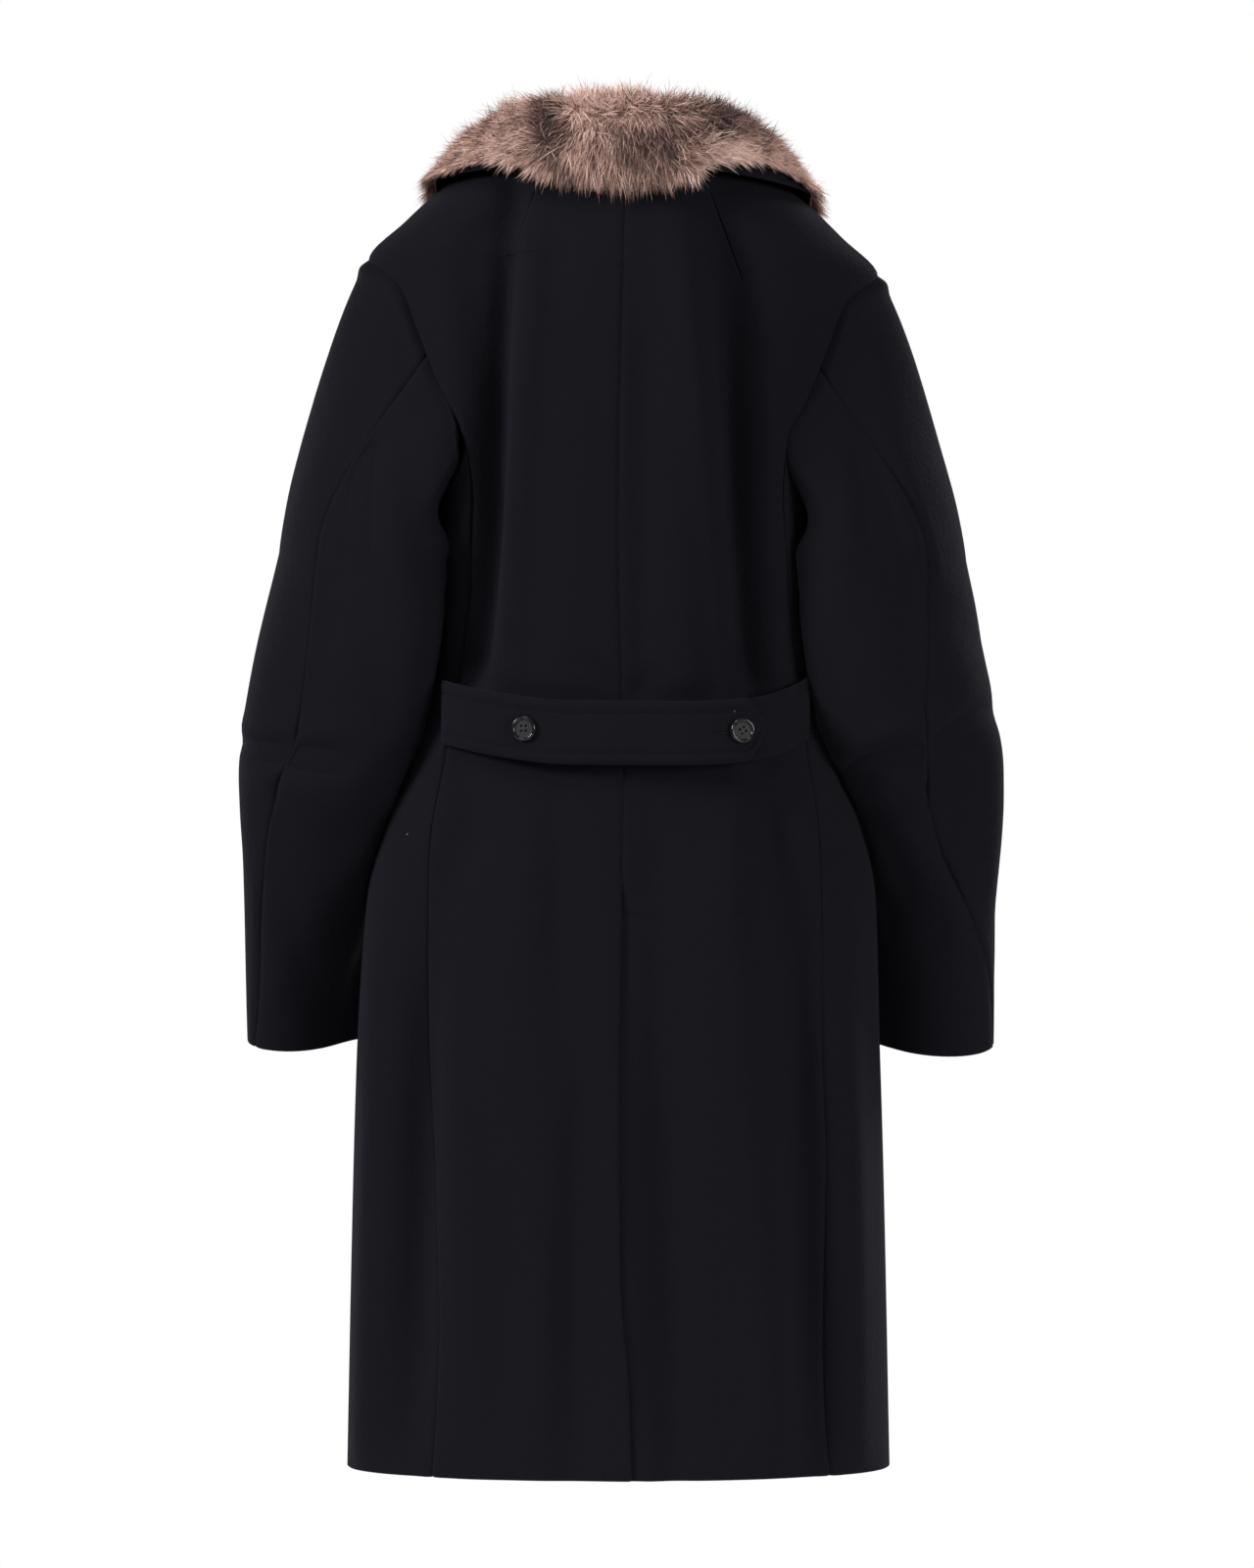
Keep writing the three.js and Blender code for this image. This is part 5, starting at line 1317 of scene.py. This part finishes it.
# ---------------------------------------------------------------- buttons
# Turned horn buttons with a polished raised rim, a matt dished middle and four holes: two on the
# half belt and eight in two columns on the front.
BELT_BUTTON = {"radius": 0.0102, "depth": 0.0036, "hole": 0.0019, "hole_at": 0.0027}
FRONT_BUTTON = {"radius": 0.013, "depth": 0.0042, "hole": 0.0019, "hole_at": 0.0029}
BELT_BUTTONS = rows_of(
    "word angle spin",
    ("left", 24.8, 45), ("right", -29.8, 75),
)
FRONT_BUTTON_ROWS = (-0.332, -0.446, -0.560, -0.674)
FRONT_BUTTON_COLUMN = 0.062
HORN_DARK = (0.0045, 0.0045, 0.0060, 1)
HORN_LIGHT = (0.0105, 0.0100, 0.0120, 1)
HORN_ROUGHNESS = {"dish": 0.62, "rim": 0.16}
BUTTON_FACE = (  # shares of the radius, and the height there as a share of the depth
    (0, 0.60, 0.67, 0.75, 0.80, 0.85, 0.90, 0.95, 1),
    (0.56, 0.52, 0.54, 0.90, 0.98, 1.0, 0.97, 0.84, 0.50),
)
HOLE_DEPTH = 0.42  # a share of the button's
RIM_FROM = 0.7  # where the polish starts, as a share of the radius

horn, horn_shader = new_material("horn")
grain = noise_at(horn, 320, 4, (1, 1, 3.5))
polish = new_node(horn, "Attribute", attribute_name="polish")["Fac"]
gloss = {"Value": polish, "To Min": HORN_ROUGHNESS["dish"], "To Max": HORN_ROUGHNESS["rim"]}
set_sockets(horn, horn_shader, {
    "Base Color": ramp_between(horn, grain, 0.38, 0.68, HORN_DARK, HORN_LIGHT),
    "Normal": raised(horn, noise_at(horn, 1800), 0.00005, 0.15),
    "Roughness": new_node(horn, "MapRange", gloss)["Result"],
    "Specular IOR Level": 0.33,
})


def button_height(r, spin, form, angle):
    """The face of a button: a rounded rim, a dish, and four steep holes round the middle."""
    height = form["depth"] * np.interp(r / form["radius"], *BUTTON_FACE)
    wide, narrow = form["hole"] / 2 + 0.0002, form["hole"] / 2 - 0.0003
    for quarter in range(4):
        way = np.radians(spin + 90 * quarter)
        x = r * np.cos(angle) - form["hole_at"] * np.cos(way)
        y = r * np.sin(angle) - form["hole_at"] * np.sin(way)
        height = height - form["depth"] * HOLE_DEPTH * ease(wide, narrow, np.hypot(x, y))
    return height


def make_button(node, place, out, form, spin):
    """A button as rings about its axis: up its back, over the rim and in to the middle. The polish
    is 1 on the rim and 0 in the dish."""
    around, rings = (64, 26) if form is BELT_BUTTON else (36, 14)
    angle = np.linspace(0, 2 * np.pi, around, endpoint=False)[None, :]
    radii = np.concatenate([np.linspace(1, 0.66, 15), np.linspace(0.62, 0.04, rings)])[:, None]
    radii = radii * form["radius"]
    face = button_height(radii, spin, form, angle)
    back_r = np.array([0.05, 0.86, 0.95, 1.0])[:, None] * form["radius"]
    back_h = np.array([0, 0, 0.12, 0.38])[:, None] * form["depth"]
    r = np.concatenate([back_r, radii]) + 0 * angle
    h = np.concatenate([back_h + 0 * angle, face])
    local = np.stack([r * np.cos(angle), r * np.sin(angle), h], -1).reshape(-1, 3)
    centre = np.array([[0, 0, 0], [0, 0, button_height(np.zeros(1), spin, form, np.zeros(1))[0]]])
    rows = len(r)
    index = np.arange(rows * around).reshape(rows, around)
    turned = np.roll(index, -1, axis=1)
    quads = np.stack([index[:-1], turned[:-1], turned[1:], index[1:]], -1).reshape(-1, 4)
    low, high = rows * around, rows * around + 1
    low_cap = np.stack([turned[0], index[0], np.full(around, low)], -1)
    high_cap = np.stack([index[-1], turned[-1], np.full(around, high)], -1)
    triangles = np.concatenate([quads[:, [0, 1, 2]], quads[:, [0, 2, 3]], low_cap, high_cap])
    across = unit(np.cross(np.array([0, 0, 1.0]), out))
    upward = np.cross(out, across)
    axes = np.stack([across, upward, out])
    points = np.concatenate([local, centre]) @ axes + hang(place[None])[0] + out * REST_GAP
    piece = make_mesh(f"{node}_horn", points, triangles, horn)
    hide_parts(node)
    polished = np.hypot(local[:, 0], local[:, 1]) > RIM_FROM * form["radius"]
    attribute = piece.data.attributes.new("polish", "FLOAT", "POINT")
    attribute.data.foreach_set("value", np.concatenate([polished, [0, 0]]).astype(np.float32))


for button in BELT_BUTTONS:
    angle = np.array(float(button["angle"]))
    place, out = belt_place(angle, strap_top(1, angle) + strap_ease(1, angle, 0.0))
    make_button(f"belt_button_{button['word']}", place, out, BELT_BUTTON, button["spin"])
for row, height in enumerate(FRONT_BUTTON_ROWS):
    for word, side in SIDES:
        z = np.array(height)
        angle = 180 - side * angle_behind(FRONT_BUTTON_COLUMN, z)
        place = body_point(angle, z, front_step(1, angle, z))
        out = body_normal(angle, z)
        spin = 45 + 17 * row + 5 * side
        make_button(f"front_button_{word}_{row + 1}", place, out, FRONT_BUTTON, spin)

# ---------------------------------------------------------------- camera, floor and lights
# Seen straight from behind at middle height, on plain white, in even light from the left.
VIEW_DISTANCE = 5.0
VIEW_CENTRE = (-0.003, -0.488)
VIEW_HEIGHT = 1.28
SENSOR = 36
FLOOR_Z = -1.36
FLOOR_RADIUS = 1.5
FLOOR_CORNERS = 96
SKY_GLOW = 0.10  # how bright the white surroundings light the coat

camera = bpy.data.objects.new("camera", bpy.data.cameras.new("camera"))
bpy.context.scene.collection.objects.link(camera)
camera.location = (VIEW_CENTRE[0], VIEW_DISTANCE, VIEW_CENTRE[1])
camera.rotation_euler = (np.pi / 2, 0, np.pi)
camera.data.sensor_fit = "VERTICAL"
camera.data.sensor_height = camera.data.sensor_width = SENSOR
camera.data.lens = SENSOR * VIEW_DISTANCE / VIEW_HEIGHT
bpy.context.scene.camera = camera

world = bpy.data.worlds.new("world")
bpy.context.scene.world = world
world.use_nodes = True
sky = world.node_tree.nodes
backdrop = sky["Background"]
backdrop.inputs["Color"].default_value = (1, 1, 1, 1)
seen = sky.new("ShaderNodeLightPath")
glow = sky.new("ShaderNodeMapRange")
glow.inputs["To Min"].default_value = SKY_GLOW
world.node_tree.links.new(seen.outputs["Is Camera Ray"], glow.inputs["Value"])
world.node_tree.links.new(glow.outputs["Result"], backdrop.inputs["Strength"])
bpy.context.scene.view_settings.view_transform = "Standard"


def soft_light(name, place, aim, size, power):
    """A square light of that size that faces a point."""
    lamp = bpy.data.lights.new(name, "AREA")
    lamp.shape = "SQUARE"
    lamp.size = size
    lamp.energy = power
    light_object = bpy.data.objects.new(name, lamp)
    bpy.context.scene.collection.objects.link(light_object)
    light_object.location = place
    way = np.array(place) - np.array(aim)
    flat = np.hypot(way[0], way[1])
    light_object.rotation_euler = (np.arctan2(flat, way[2]), 0, np.arctan2(way[1], way[0]) + np.pi / 2)


soft_light("key", (3.4, 1.8, 1.1), (0, 0, -0.5), 1.1, 200)
soft_light("fill", (-3.2, 2.3, 0.2), (0, 0, -0.5), 1.4, 120)
soft_light("above", (0.8, 1.6, 2.6), (0, 0, -0.4), 1.5, 55)
soft_light("front_key", (-2.7, -2.6, 1.0), (0, 0, -0.5), 1.4, 210)
soft_light("front_fill", (2.8, -2.9, 0.6), (0, 0, -0.5), 1.6, 120)

ring = np.linspace(0, 2 * np.pi, FLOOR_CORNERS, endpoint=False)
disc = np.stack([FLOOR_RADIUS * np.cos(ring), FLOOR_RADIUS * np.sin(ring), FLOOR_Z + 0 * ring], -1)
floor = bpy.data.objects.new("floor", bpy.data.meshes.new("floor"))
floor.data.from_pydata(disc.tolist(), [], [list(range(FLOOR_CORNERS))])
bpy.context.scene.collection.objects.link(floor)
floor_paint, floor_shader = new_material("floor")
set_sockets(floor_paint, floor_shader, {"Base Color": (0.86, 0.86, 0.86, 1), "Roughness": 0.9})
floor.data.materials.append(floor_paint)
